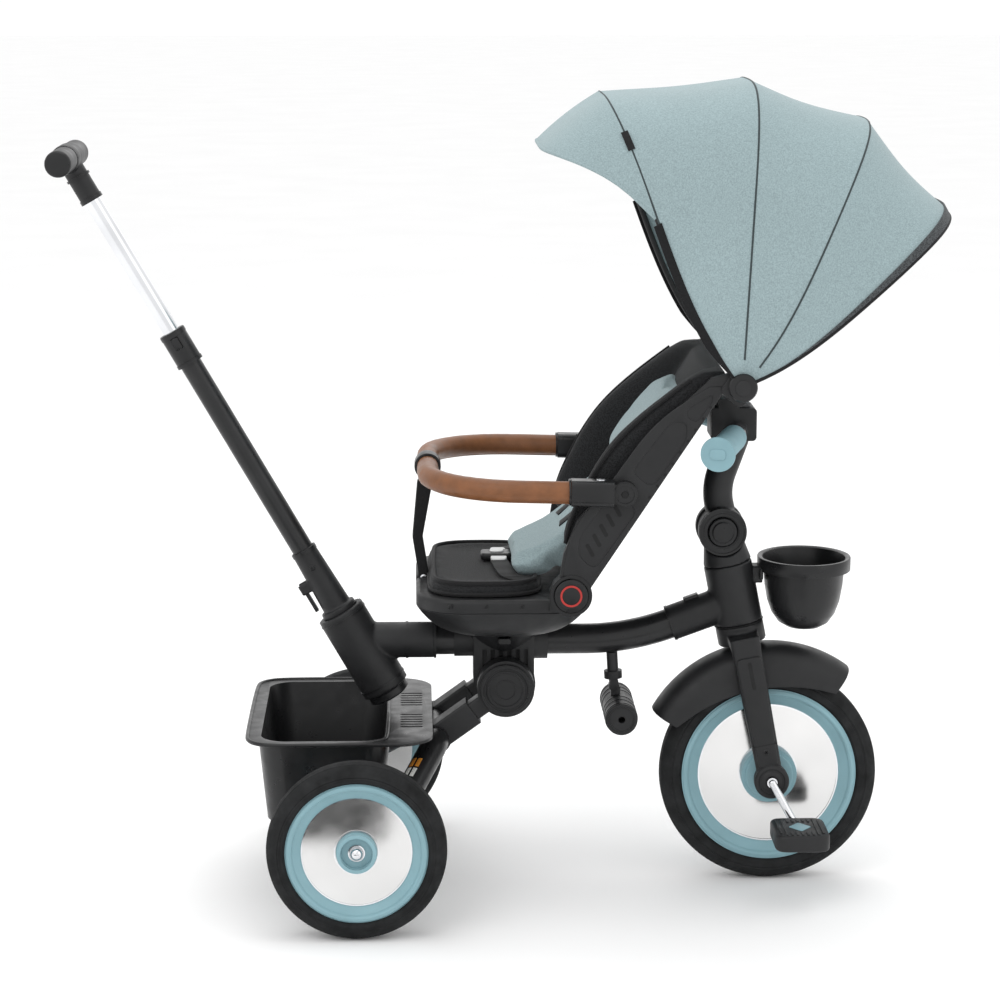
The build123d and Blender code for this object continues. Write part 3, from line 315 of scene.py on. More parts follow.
def spacer_mesh(name, colour):
    """Knitted spacer fabric with small open cells in rows; each cell is painted darker towards its middle as shade."""
    mesh = Finish(name, colour, 0.8)
    holes = mesh.cells(620, "F1", (1, 1, 1.25))
    # painted shade: the colour runs from 0.4 of the fabric's at the middle of each open cell, where shade falls, up to
    # 2.2 times it on the threads between
    mesh.tint(mesh.spread(holes, 0, 1, 0.15, 0.6), scaled(colour, 0.4), scaled(colour, 2.2))
    mesh.relief(holes, 0.5, 0.7)
    mesh.relief(mesh.grain(900, 2), 0.2, 0.3)
    mesh.set(Sheen_Weight=0.08, Sheen_Roughness=0.5, Specular_IOR_Level=0.15)
    return mesh.material


def webbing(name, colour):
    """Woven tape with fine cross ribs."""
    tape = Finish(name, colour, 0.75)
    ribs = tape.waves(300, "Z", 0.4)
    tape.tint(tape.spread(tape.joined(ribs, tape.grain(300)), 0, 1, 0.0, 0.6), scaled(colour, 0.6), scaled(colour, 1.6))
    tape.relief(ribs, 0.3, 0.6)
    tape.set(Sheen_Weight=0.08, Specular_IOR_Level=0.2)
    return tape.material


def reflective_tape(name, colour):
    """Retro-reflective tape: a honeycomb of tiny prisms under gloss."""
    tape = Finish(name, colour, 0.3, 0.35)
    comb = tape.cells(600)
    tape.tint(tape.spread(comb, 0, 1, 0.1, 0.6), scaled(colour, 0.8), scaled(colour, 1.3))
    tape.relief(comb, 0.1, 0.4)
    tape.set(Coat_Weight=0.8, Coat_Roughness=0.08)
    return tape.material


def floor_card(name, colour):
    """Pale seamless card."""
    card = Finish(name, colour, 0.9)
    card.tint(card.spread(card.grain(3, 2), 0, 1), scaled(colour, 0.985), scaled(colour, 1.01))
    card.relief(card.grain(200, 2), 0.1, 0.05)
    return card.material


def make_materials(looks):
    """Every finish of the tricycle, keyed by a short word."""
    black, teal = tuple(looks.black_plastic), tuple(looks.teal_plastic)
    return {
        "black": moulded_plastic("black_moulding", black),
        "smooth_black": moulded_plastic("smooth_black_moulding", scaled(black, 0.8), 0.33, 2200, 0.02),
        # deep_black is the colour of seams and pins, and also the painted shade in the slots of the fork legs and the
        # wings and in the wings' holes
        "deep_black": moulded_plastic("deep_black_moulding_and_slot_shade", scaled(black, 0.35), 0.6),
        "grey": moulded_plastic("grey_rubber_cap", (0.12, 0.12, 0.125), 0.62, 900, 0.1),
        "teal": moulded_plastic("teal_moulding", teal, 0.42, 1800, 0.03, 0.06),
        "teal_grip": moulded_plastic("teal_grip_rubber", scaled(teal, 0.98), 0.6, 700, 0.12, 0.08),
        "white": moulded_plastic("white_buckle", (0.72, 0.72, 0.72), 0.4, 1800, 0.03, 0.04),
        "red": moulded_plastic("red_ring", (0.42, 0.03, 0.025), 0.42, 1800, 0.03, 0.1),
        "tube": painted_tube("black_powder_coat", scaled(black, 0.8)),
        "chrome": polished_metal("chrome_plate", (0.78, 0.79, 0.81)),
        "steel": polished_metal("zinc_steel", (0.55, 0.56, 0.58), 0.25),
        "mirror": mirror_film("metallised_disc", (0.74, 0.735, 0.73)),
        "tyre": foam_tyre("foam_tyre", (0.0125, 0.013, 0.0135)),
        "leather": leatherette("brown_leatherette", tuple(looks.leather)),
        "fabric": heathered_cloth("teal_heather_cloth", tuple(looks.teal_fabric)),
        "lining": heathered_cloth("black_lining", (0.011, 0.0112, 0.012), 0.3, 0.06),
        "mesh": spacer_mesh("black_spacer_mesh", (0.0085, 0.0088, 0.0094)),
        "grey_mesh": spacer_mesh("grey_window_mesh", (0.035, 0.038, 0.04)),
        "tape": webbing("black_webbing", (0.012, 0.012, 0.0128)),
        "seam": heathered_cloth("seam_thread", scaled(tuple(looks.teal_fabric), 0.16), 0.2, 0.1),
        "orange": reflective_tape("orange_reflector", (0.8, 0.3, 0.04)),
        "silver": reflective_tape("silver_reflector", (0.75, 0.75, 0.72)),
        "floor": floor_card("pale_card", (0.96, 0.96, 0.96)),
    }


MATERIALS = {}


def finish_of(word):
    """The material for a short word, made on first use."""
    if not MATERIALS:
        MATERIALS.update(make_materials(bpy.context.scene.trike_looks))
    return MATERIALS[word]


# ---------------------------------------------------------------- modelling helpers
def pick(*pieces):
    """Select only these objects and make the first active."""
    bpy.ops.object.select_all(action="DESELECT")
    for piece in pieces:
        piece.select_set(True)
    bpy.context.view_layer.objects.active = pieces[0]


def apply_place(piece):
    """Put a piece's place, turn and size into its mesh."""
    pick(piece)
    bpy.ops.object.transform_apply(location=True, rotation=True, scale=True)


def apply_modifiers(piece):
    """Apply every modifier of a piece."""
    pick(piece)
    for modifier in list(piece.modifiers):
        bpy.ops.object.modifier_apply(modifier=modifier.name)


def smooth(piece, angle=35):
    """Smooth shading that keeps edges sharper than angle."""
    pick(piece)
    bpy.ops.object.shade_smooth_by_angle(angle=math.radians(angle))


def wear(piece, body, slot, word, *nodes):
    """Give a piece its material and its body, and hide the CAD nodes it stands for; the slot argument is not used."""
    piece.data.materials.clear()
    piece.data.materials.append(finish_of(word))
    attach(piece, body)
    if nodes:
        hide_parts(*nodes)
    return piece


def mesh_piece(name, points, edges=(), faces=()):
    """A new object from points in metres."""
    data = bpy.data.meshes.new(name)
    data.from_pydata([tuple(spot) for spot in points], list(edges), list(faces))
    piece = bpy.data.objects.new(name, data)
    bpy.context.collection.objects.link(piece)
    return piece


def tidy_mesh(piece, distance=0.02):
    """Merge doubles and point every face outwards."""
    pick(piece)
    bpy.ops.object.mode_set(mode="EDIT")
    bpy.ops.mesh.select_all(action="SELECT")
    bpy.ops.mesh.remove_doubles(threshold=distance * MM)
    bpy.ops.mesh.normals_make_consistent(inside=False)
    bpy.ops.object.mode_set(mode="OBJECT")


def turned(name, profile, centre, axis=(0, 1, 0), steps=96, angle=35):
    """Spin an outline of (radius, along) millimetres about an axis; closed at both ends on the axis."""
    axis = Vector(axis).normalized()
    side = axis.orthogonal().normalized()
    points = [centre + axis * (along * MM) + side * (radius * MM) for radius, along in profile]
    piece = mesh_piece(name, points, [(n, n + 1) for n in range(len(points) - 1)])
    pick(piece)
    bpy.ops.object.mode_set(mode="EDIT")
    bpy.ops.mesh.select_all(action="SELECT")
    bpy.ops.mesh.spin(steps=steps, angle=2 * math.pi, center=centre, axis=axis)
    bpy.ops.object.mode_set(mode="OBJECT")
    tidy_mesh(piece)
    smooth(piece, angle)
    return piece


def tube(name, points, radius, closed=False, flat=1.0, order=4, sides=4, steps=10):
    """A round bar in millimetres along a smooth line of points in metres."""
    data = bpy.data.curves.new(name, "CURVE")
    data.dimensions = "3D"
    data.bevel_depth = radius * MM
    data.bevel_resolution = sides
    data.use_fill_caps = not closed
    line = data.splines.new("NURBS")
    line.points.add(len(points) - 1)
    for spot, place in zip(line.points, points):
        spot.co = (*place, 1)
    line.order_u = min(order, len(points))
    line.use_endpoint_u = not closed
    line.use_cyclic_u = closed
    line.resolution_u = steps
    piece = bpy.data.objects.new(name, data)
    bpy.context.collection.objects.link(piece)
    pick(piece)
    bpy.ops.object.convert(target="MESH")
    piece = bpy.context.active_object
    tidy_mesh(piece, 0.005)
    smooth(piece, 50)
    return piece


def rounded(points, radius, steps=6):
    """Points of a closed outline with every corner rounded, all in one pair of coordinates."""
    out = []
    count = len(points)
    for number, corner in enumerate(points):
        before, after = Vector(points[number - 1]), Vector(points[(number + 1) % count])
        corner = Vector(corner)
        reach = min(radius, (before - corner).length / 2.1, (after - corner).length / 2.1)
        start = corner + (before - corner).normalized() * reach
        end = corner + (after - corner).normalized() * reach
        for step in range(steps + 1):
            t = step / steps
            out.append(start * (1 - t) ** 2 + corner * 2 * t * (1 - t) + end * t * t)
    return out


def slab(name, outline, place, depth, bevel=0.8, segments=2):
    """A plate: an outline set out by place(u, v), pushed along depth (metres), with rounded edges."""
    points = [place(u, v) for u, v in outline]
    piece = mesh_piece(name, points, (), [tuple(range(len(points)))])
    pick(piece)
    bpy.ops.object.mode_set(mode="EDIT")
    bpy.ops.mesh.select_all(action="SELECT")
    bpy.ops.mesh.extrude_region_move(TRANSFORM_OT_translate={"value": tuple(depth)})
    bpy.ops.object.mode_set(mode="OBJECT")
    tidy_mesh(piece, 0.001)
    if bevel:
        edge = piece.modifiers.new("edge", "BEVEL")
        edge.width, edge.segments, edge.limit_method = bevel * MM, segments, "ANGLE"
        edge.angle_limit = math.radians(40)
        apply_modifiers(piece)
    smooth(piece, 40)
    return piece


def copy_of(node, name, flatten=4.0):
    """A merged copy of a CAD node's mesh, free to be shaped."""
    pick(frame["nodes"][node])
    bpy.ops.object.duplicate()
    piece = bpy.context.active_object
    bpy.ops.object.parent_clear(type="CLEAR_KEEP_TRANSFORM")
    piece.name = piece.data.name = name
    apply_place(piece)
    bpy.ops.object.mode_set(mode="EDIT")
    bpy.ops.mesh.select_all(action="SELECT")
    bpy.ops.mesh.remove_doubles(threshold=0.004 * MM)
    if flatten:
        bpy.ops.mesh.dissolve_limited(angle_limit=math.radians(flatten))
    bpy.ops.object.mode_set(mode="OBJECT")
    return piece


def softened(node, name, body, slot, word, width=1.2, segments=3, stand=True):
    """A CAD node with its edges rounded over."""
    piece = copy_of(node, name)
    edge = piece.modifiers.new("edge", "BEVEL")
    edge.width, edge.segments, edge.limit_method = width * MM, segments, "ANGLE"
    edge.angle_limit = math.radians(32)
    edge.use_clamp_overlap = True
    apply_modifiers(piece)
    smooth(piece, 32)
    return wear(piece, body, slot, word, *((node,) if stand else ()))


def carve(piece, *cutters):
    """Cut closed pieces out of another and remove them."""
    for cutter in cutters:
        cut = piece.modifiers.new("cut", "BOOLEAN")
        cut.object, cut.operation, cut.solver = cutter, "DIFFERENCE", "EXACT"
    apply_modifiers(piece)
    for cutter in cutters:
        bpy.data.objects.remove(cutter)


def moulding(node, name, body, slot, word, grid=1.6, rounds=5, cutters=()):
    """A CAD node melted into one moulding: edges and inner corners flow into fillets."""
    piece = copy_of(node, name, 0)
    if cutters:
        carve(piece, *cutters)
    remesh = piece.modifiers.new("melt", "REMESH")
    remesh.mode, remesh.voxel_size = "VOXEL", grid * MM
    ease = piece.modifiers.new("ease", "SMOOTH")
    ease.factor, ease.iterations = 0.5, rounds
    apply_modifiers(piece)
    smooth(piece, 60)
    return wear(piece, body, slot, word, node)


def dress(word, *nodes):
    """A better material on CAD nodes whose shape is already right."""
    for node in nodes:
        piece = frame["nodes"][node]
        piece.data.materials.clear()
        piece.data.materials.append(finish_of(word))


def button(name, centre, direction, radius, height, body, slot, word, dome=0.6):
    """A low turned boss or rivet with a rounded rim."""
    profile = [(0, 0), (radius, 0), (radius, height * 0.6), (radius - dome, height), (0, height + dome * 0.4)]
    piece = turned(name, profile, centre, direction, 40)
    return wear(piece, body, slot, word)


def ring(name, centre, direction, radius, thickness, body, slot, word, flat=0.6):
    """A thin raised ring."""
    profile = [(radius - thickness, 0), (radius - thickness, flat), (radius, flat), (radius, 0),
               (radius - thickness, 0)]
    piece = turned(name, profile, centre, direction, 64)
    return wear(piece, body, slot, word)


def screw(name, centre, direction, radius, body, slot, word="smooth_black"):
    """A cross-head screw: a low dome with a cross cut in it."""
    direction = Vector(direction).normalized()
    profile = [(0, -1), (radius, -1), (radius, 0.3), (radius * 0.8, 0.9), (0, 1.1)]
    head = turned(name, profile, centre, direction, 28)
    side = direction.orthogonal().normalized()
    other = direction.cross(side)
    blades = []
    for first, second in ((side, other), (other, side)):
        outline = [(-0.62 * radius, -0.13 * radius), (0.62 * radius, -0.13 * radius),
                   (0.62 * radius, 0.13 * radius), (-0.62 * radius, 0.13 * radius)]
        blades.append(slab(name + "_blade", outline,
                           lambda u, v, a=first, b=second: centre + a * (u * MM) + b * (v * MM) + direction * (0.1 * MM),
                           direction * (3 * MM), 0))
    carve(head, *blades)
    smooth(head, 35)
    return wear(head, body, slot, word)


# ---------------------------------------------------------------- properties
class TrikeLooks(bpy.types.PropertyGroup):
    """Sizes and colours that a user would change."""

    black_plastic: bpy.props.FloatVectorProperty(
        name="Black plastic", description="Colour of the black mouldings", subtype="COLOR", size=3,
        min=0, max=1, default=(0.0125, 0.0128, 0.0137))
    teal_plastic: bpy.props.FloatVectorProperty(
        name="Teal plastic", description="Colour of the wheel rims and grips", subtype="COLOR", size=3,
        min=0, max=1, default=(0.22, 0.375, 0.42))
    teal_fabric: bpy.props.FloatVectorProperty(
        name="Teal cloth", description="Colour of the canopy and pads", subtype="COLOR", size=3,
        min=0, max=1, default=(0.275, 0.355, 0.37))
    leather: bpy.props.FloatVectorProperty(
        name="Leatherette", description="Colour of the bumper bar's sleeve", subtype="COLOR", size=3,
        min=0, max=1, default=(0.19, 0.075, 0.029))
    canopy_sag: bpy.props.FloatProperty(
        name="Canopy sag", description="How far the cloth sinks between two bows", unit="LENGTH",
        min=0.0, max=0.02, default=0.013)
    rib_depth: bpy.props.FloatProperty(
        name="Tyre rib depth", description="Depth of the ribs on the tyre shoulders", unit="LENGTH",
        min=0.0, max=0.003, default=0.0011)
    pad_fullness: bpy.props.FloatProperty(
        name="Pad fullness", description="How far a pad may swell", unit="LENGTH", min=0.0, max=0.02,
        default=0.006)


# ---------------------------------------------------------------- wheels
def tyre(name, centre, radius, inner, width, ribs, depth, body, node):
    """A foam tyre: rounded tread with two grooves, and ribs round both shoulders."""
    half = width / 2
    profile = [(inner - 1, -half + 7), (inner, -half + 4.5), (inner + 3, -half + 1.4), (inner + 8, -half + 0.2),
               (radius - 15, -half), (radius - 13.6, -half + 0.9), (radius - 12, -half + 0.2),
               (radius - 7, -half + 2), (radius - 3, -half + 6), (radius - 1, -half + 10.5),
               (radius - 2.2, -half + 11.6), (radius - 0.8, -half + 12.8), (radius, -half + 18)]
    profile = profile + [(r, -y) for r, y in reversed(profile)]
    profile.append(profile[0])
    piece = turned(name, profile, centre, ACROSS, ribs * 2, 30)
    for vertex in piece.data.vertices:
        arm = vertex.co - centre
        side = arm.y
        arm.y = 0
        reach = arm.length
        if (radius - 11.5) * MM < reach < (radius - 2) * MM and abs(side) > 0.55 * half * MM:
            turn = math.atan2(arm.z, arm.x) / (2 * math.pi) * ribs
            if (turn % 1.0) < 0.5:
                vertex.co -= arm.normalized() * depth * 0.6 + ACROSS * math.copysign(depth, side)
    smooth(piece, 24)
    return wear(piece, body, "tyre", "tyre", node)


def rim_face(name, centre, side, rim, disc, hub, lip, body, word="teal"):
    """One side of a moulded rim: rolled lip, dished flange, step and inner edge."""
    profile = [(rim + 0.5, 4), (rim + 0.5, lip - 3), (rim - 1.4, lip - 0.7), (rim - 4.5, lip), (rim - 6.5, lip - 1.2),
               (rim - 8, lip - 4), (disc + 3.2, 12.6), (disc + 1.6, 11.4), (disc + 0.4, 10.9), (disc - 0.6, 10.7),
               (disc - 0.6, 4), (rim + 0.5, 4)]
    piece = turned(name, [(r, side * y) for r, y in profile], centre, ACROSS, 128, 28)
    return wear(piece, body, "teal_plastic", word)


def wheel_hub(name, centre, side, radius, base, height, body, word):
    """A round hub cap with a stepped rim."""
    profile = [(0, base), (radius, base), (radius, base + height * 0.45), (radius - 1, base + height * 0.6),
               (radius - 4, base + height * 0.66), (radius - 5, base + height * 0.95), (radius - 6.2, base + height),
               (0, base + height)]
    piece = turned(name, [(r, side * y) for r, y in profile], centre, ACROSS, 72, 28)
    return wear(piece, body, "teal_plastic" if word == "teal" else "frame_plastic", word)


class TRIKE_OT_wheels(bpy.types.Operator):
    """Tyres, rims, mirror discs, trim rings and hubs of the three wheels"""

    bl_idname = "trike.wheels"
    bl_label = "Wheels"

    def execute(self, context):
        looks = context.scene.trike_looks
        ribs = looks.rib_depth
        front = FRONT_AXLE.copy()
        front.y = 0
        tyre("front_tyre_foam", front, 127, 102, 44, 110, ribs, "front_wheel", "front_tyre")
        dress("teal", "front_rim")
        dress("mirror", "front_discs", "rear_discs_left", "rear_discs_right")
        for side, label in ((-1, "right"), (1, "left")):
            rim_face(f"front_rim_{label}", front, side, 101.5, 83, 32, 20.6, "front_wheel")
            ring(f"front_trim_outer_{label}", front + ACROSS * (side * 10.6 * MM), ACROSS * side, 82.4, 1.6,
                 "front_wheel", "chrome", "chrome", 1.0)
            ring(f"front_trim_inner_{label}", front + ACROSS * (side * 10.6 * MM), ACROSS * side, 34.4, 1.8,
                 "front_wheel", "chrome", "chrome", 1.0)
            wheel_hub(f"front_hub_{label}", front, side, 32.6, 10.2, 15, "front_wheel", "teal")
            centre = Vector((REAR_AXLE.x, side * 0.215, REAR_AXLE.z))
            body = f"rear_wheel_{label}"
            tyre(f"rear_tyre_foam_{label}", centre, 100, 79, 43, 88, ribs, body, f"rear_tyre_{label}")
            for face, word in ((-1, "in"), (1, "out")):
                rim_face(f"rear_rim_{word}_{label}", centre, face, 78.5, 62, 22, 19.8, body)
                ring(f"rear_trim_outer_{word}_{label}", centre + ACROSS * (face * 10.6 * MM), ACROSS * face, 61.4,
                     1.4, body, "chrome", "chrome", 1.0)
                ring(f"rear_trim_inner_{word}_{label}", centre + ACROSS * (face * 10.6 * MM), ACROSS * face, 25.2,
                     1.5, body, "chrome", "chrome", 1.0)
            cup = [(5.2, 9), (22.8, 9), (23.2, 11.5), (22.6, 15.5), (21.4, 17), (19.2, 17.4), (17.6, 16.2), (16.8, 12.5),
                   (5.2, 12.5), (5.2, 9)]
            dress("teal", f"rear_rim_{label}")
            for face, word in ((-side, "in"), (side, "out")):
                hub = turned(f"rear_hub_{word}_{label}", [(r, face * y) for r, y in cup], centre, ACROSS, 72, 28)
                wear(hub, body, "teal_plastic", "teal")
            nut = [(0, 24.5), (2.5, 24.3), (5, 23), (6.6, 20.5), (7.2, 17.5), (7.2, 15.5), (9.4, 15.3), (9.4, 13.2), (5, 13.2),
                   (0, 13.2)]
            dome = turned(f"axle_nut_{label}", [(r, side * y) for r, y in nut], centre, ACROSS, 36, 30)
            wear(dome, "rear_frame", "chrome", "chrome")
        dress("steel", "rear_axles")
        return {"FINISHED"}


# ---------------------------------------------------------------- cranks and pedals
class TRIKE_OT_pedals(bpy.types.Operator):
    """Cranks and ribbed pedals with teal inserts"""

    bl_idname = "trike.pedals"
    bl_label = "Cranks and pedals"

    def execute(self, context):
        dress("chrome", "crank_axle")
        for side, label in ((-1, "right"), (1, "left")):
            centre = joint_point(f"pedal_{label}")
            centre = Vector((centre.x, side * 0.111, centre.z))
            node = f"pedal_{label}"

            def place(u, v, middle=centre):
                return middle + point(u, v, -9.5)

            outline = rounded([(-31, -39), (31, -39), (31, 39), (-31, 39)], 15, 8)
            block = slab(f"pedal_body_{label}", outline, place, point(0, 0, 19), 3.2, 4)
            wear(block, node, "black_gloss", "black", node)
            for face, word in ((1, "top"), (-1, "under")):
                for row in range(9):
                    x = -24 + row * 6
                    reach = 33 if abs(x) < 20 else 27
                    rib = [(x - 1.5, -reach), (x + 1.5, -reach), (x + 1.5, reach), (x - 1.5, reach)]
                    if abs(x) < 13:
                        for end, (low, high) in enumerate(((-reach, -19), (19, reach))):
                            short = [(x - 1.5, low), (x + 1.5, low), (x + 1.5, high), (x - 1.5, high)]
                            piece = slab(f"pedal_rib_{word}_{row}_{end}_{label}", short,
                                         lambda u, v, m=centre, f=face: m + point(u, v, f * 9.2),
                                         point(0, 0, face * 1.3), 0.4, 1)
                            wear(piece, node, "black_gloss", "black")
                        continue
                    piece = slab(f"pedal_rib_{word}_{row}_{label}", rib,
                                 lambda u, v, m=centre, f=face: m + point(u, v, f * 9.2),
                                 point(0, 0, face * 1.3), 0.4, 1)
                    wear(piece, node, "black_gloss", "black")
                diamond = rounded([(-13, 0), (0, -17), (13, 0), (0, 17)], 2, 3)
                insert = slab(f"pedal_insert_{word}_{label}", diamond,
                              lambda u, v, m=centre, f=face: m + point(u, v, f * 9.2),
                              point(0, 0, face * 0.9), 0.4, 2)
                wear(insert, node, "teal_plastic", "teal")
        return {"FINISHED"}


# ---------------------------------------------------------------- frame tube, head and fork
class TRIKE_OT_frame(bpy.types.Operator):
    """Main tube, its housings, the centre bracket and the foot roller's post"""

    bl_idname = "trike.frame"
    bl_label = "Frame"

    def execute(self, context):
        dress("tube", "main_tube")
        dress("steel", "head_bushes")
        moulding("head_housing", "head_housing_skin", "frame", "frame_plastic", "black", 1.5, 5)
        moulding("rear_housing", "rear_housing_skin", "frame", "frame_plastic", "black", 1.5, 8)
        softened("centre_bracket", "centre_bracket_skin", "frame", "frame_plastic", "black", 1.6)
        softened("footrest_post", "footrest_post_skin", "frame", "frame_plastic", "black", 0.8)
        softened("seat_latch", "seat_latch_skin", "seat_latch", "frame_plastic", "smooth_black", 0.8)
        # seams and collars of the barrel at the foot of the push handle
        for q, radius in ((8, 28.1), (98, 28.1)):
            ring(f"barrel_seam_{q}", on_push(q), PUSH_UP, radius + 0.5, 1.4, "frame", "frame_plastic", "smooth_black",
                 1.6)
        foot = [(0, -11.5), (19, -11.5), (22, -10), (24.4, -8.6), (24.4, -2), (0, -2)]
        cap = turned("barrel_foot", foot, PUSH_FOOT, PUSH_UP, 64, 30)
        wear(cap, "frame", "frame_plastic", "smooth_black")
        # clip on the tube's rising sleeve
        tube_top = point(228, 0, 287 + (228 - 149) * math.tan(math.radians(20)))
        slope = Vector((math.cos(math.radians(20)), 0, math.sin(math.radians(20))))
        lift = Vector((-slope.z, 0, slope.x))
        clip = slab("sleeve_clip", rounded([(-9, -6), (9, -6), (9, 6), (-9, 6)], 2),
                    lambda u, v: tube_top + slope * (u * MM) + ACROSS * (v * MM) + lift * (19 * MM),
                    lift * (4 * MM), 1.0, 3)
        wear(clip, "frame", "frame_plastic", "smooth_black")
        for x, radius in ((196.6, 21.1), (262, 20.9)):
            centre = point(x, 0, 287 + (x - 149) * math.tan(math.radians(20)))
            ring(f"sleeve_lip_{int(x)}", centre, slope, radius, 3, "frame", "frame_plastic", "smooth_black", 3.2)
        for x in (-77.5, -110):
            ring(f"stub_lip_{int(-x)}", point(x, 0, 287), (1, 0, 0), 21.5, 3, "frame", "frame_plastic", "black", 2.6)
        for side, label in ((-1, "right"), (1, "left")):
            face = ACROSS * side
            boss = [(0, 0), (7.5, 0), (7.5, 2.4), (6.6, 3.2), (0, 3.2)]
            knob = turned(f"bracket_boss_{label}", boss, point(24, side * 27.6, 256), face, 36, 30)
            wear(knob, "frame", "frame_plastic", "smooth_black")
        return {"FINISHED"}


def mudguard(name, start, end):
    """A domed mudguard from angle start to end about the axle; its skirt hangs lowest in the middle."""
    middle = Vector((FRONT_AXLE.x, 0, FRONT_AXLE.z))
    crest, half, rounds, arcs = 155.5, 34.0, 20, 48
    points, faces = [], []
    for arc in range(arcs + 1):
        t = arc / arcs
        turn = math.radians(start + (end - start) * t)
        skirt = 125 - 19 * math.sin(math.pi * t) ** 0.8
        for step in range(rounds + 1):
            lean = math.pi * (step / rounds - 0.5)
            across = half * math.copysign(abs(math.sin(lean)) ** 0.8, lean)
            radius = skirt + (crest - skirt) * math.cos(lean) ** 0.8
            points.append(middle + point(radius * math.cos(turn), across, radius * math.sin(turn)))
    wide = rounds + 1
    for arc in range(arcs):
        for step in range(rounds):
            low = arc * wide + step
            faces.append((low, low + 1, low + wide + 1, low + wide))
    piece = mesh_piece(name, points, (), faces)
    tidy_mesh(piece)
    thick = piece.modifiers.new("wall", "SOLIDIFY")
    thick.thickness, thick.offset = 2.6 * MM, -1
    edge = piece.modifiers.new("edge", "BEVEL")
    edge.width, edge.segments, edge.limit_method = 0.9 * MM, 3, "ANGLE"
    edge.angle_limit = math.radians(50)
    apply_modifiers(piece)
    smooth(piece, 45)
    return wear(piece, "fork", "frame_plastic", "black", "front_fender")


class TRIKE_OT_fork(bpy.types.Operator):
    """Fork legs with their covers, crown, mudguard and head cap"""

    bl_idname = "trike.fork"
    bl_label = "Fork and mudguard"

    def execute(self, context):
        moulding("fork", "fork_skin", "fork", "frame_plastic", "black", 1.6, 5)
        moulding("head_cap", "head_cap_skin", "fork", "frame_plastic", "black", 1.3, 5)
        mudguard("mudguard", 53.0, 151.0)
        ring("crown_seam", on_head(182.3), HEAD_UP, 28.7, 1.2, "fork", "frame_plastic", "deep_black", 0.8)
        for side, label in ((-1, "right"), (1, "left")):
            face = ACROSS * side

            def place(u, v, y=side * 49.4):
                return on_head(v, u, y)

            # raised cover down the leg, with a long slot and two seams
            cover = rounded([(-11.5, 18), (11.5, 18), (13.5, 96), (14.5, 150), (-14.5, 150), (-13.5, 96)], 6, 5)
            piece = slab(f"leg_cover_{label}", cover, place, face * (2.6 * MM), 1.2, 3)
            wear(piece, "fork", "frame_plastic", "black")
            # painted shade: the long slot is a thin dark plate 0.4 mm proud of the cover, standing in for the shade in
            # the opening
            slot_shade_outline = rounded([(-2.2, 112), (2.2, 112), (2.2, 145), (-2.2, 145)], 2, 4)
            piece = slab(f"leg_slot_shade_{label}", slot_shade_outline, lambda u, v, y=side * 51.9: on_head(v, u, y),
                         face * (0.4 * MM), 0.1, 1)
            wear(piece, "fork", "frame_plastic", "deep_black")
            screw(f"leg_screw_{label}", on_head(36, 0, side * 51.9), face, 3.6, "fork", "frame_plastic")
            seam = rounded([(-14.6, 0), (14.6, 0), (14.6, 1.0), (-14.6, 1.0)], 0.3, 2)
            piece = slab(f"leg_seam_{label}", [(u, v + 44) for u, v in seam], place, face * (2.75 * MM), 0)
            wear(piece, "fork", "frame_plastic", "deep_black")
            axle_cap = [(0, 49), (20.2, 49), (20.2, 51.5), (18.6, 53.2), (15.5, 53.6), (14.5, 52.6), (12, 52.6), (11, 53.4),
                        (8.4, 53.8), (7.4, 53.8), (6.6, 53.2), (6.4, 50), (0, 50)]
            piece = turned(f"axle_cap_{label}", [(r, side * y) for r, y in axle_cap],
                           Vector((FRONT_AXLE.x, 0, FRONT_AXLE.z)), ACROSS, 64, 30)
            wear(piece, "fork", "frame_plastic", "black")
        return {"FINISHED"}


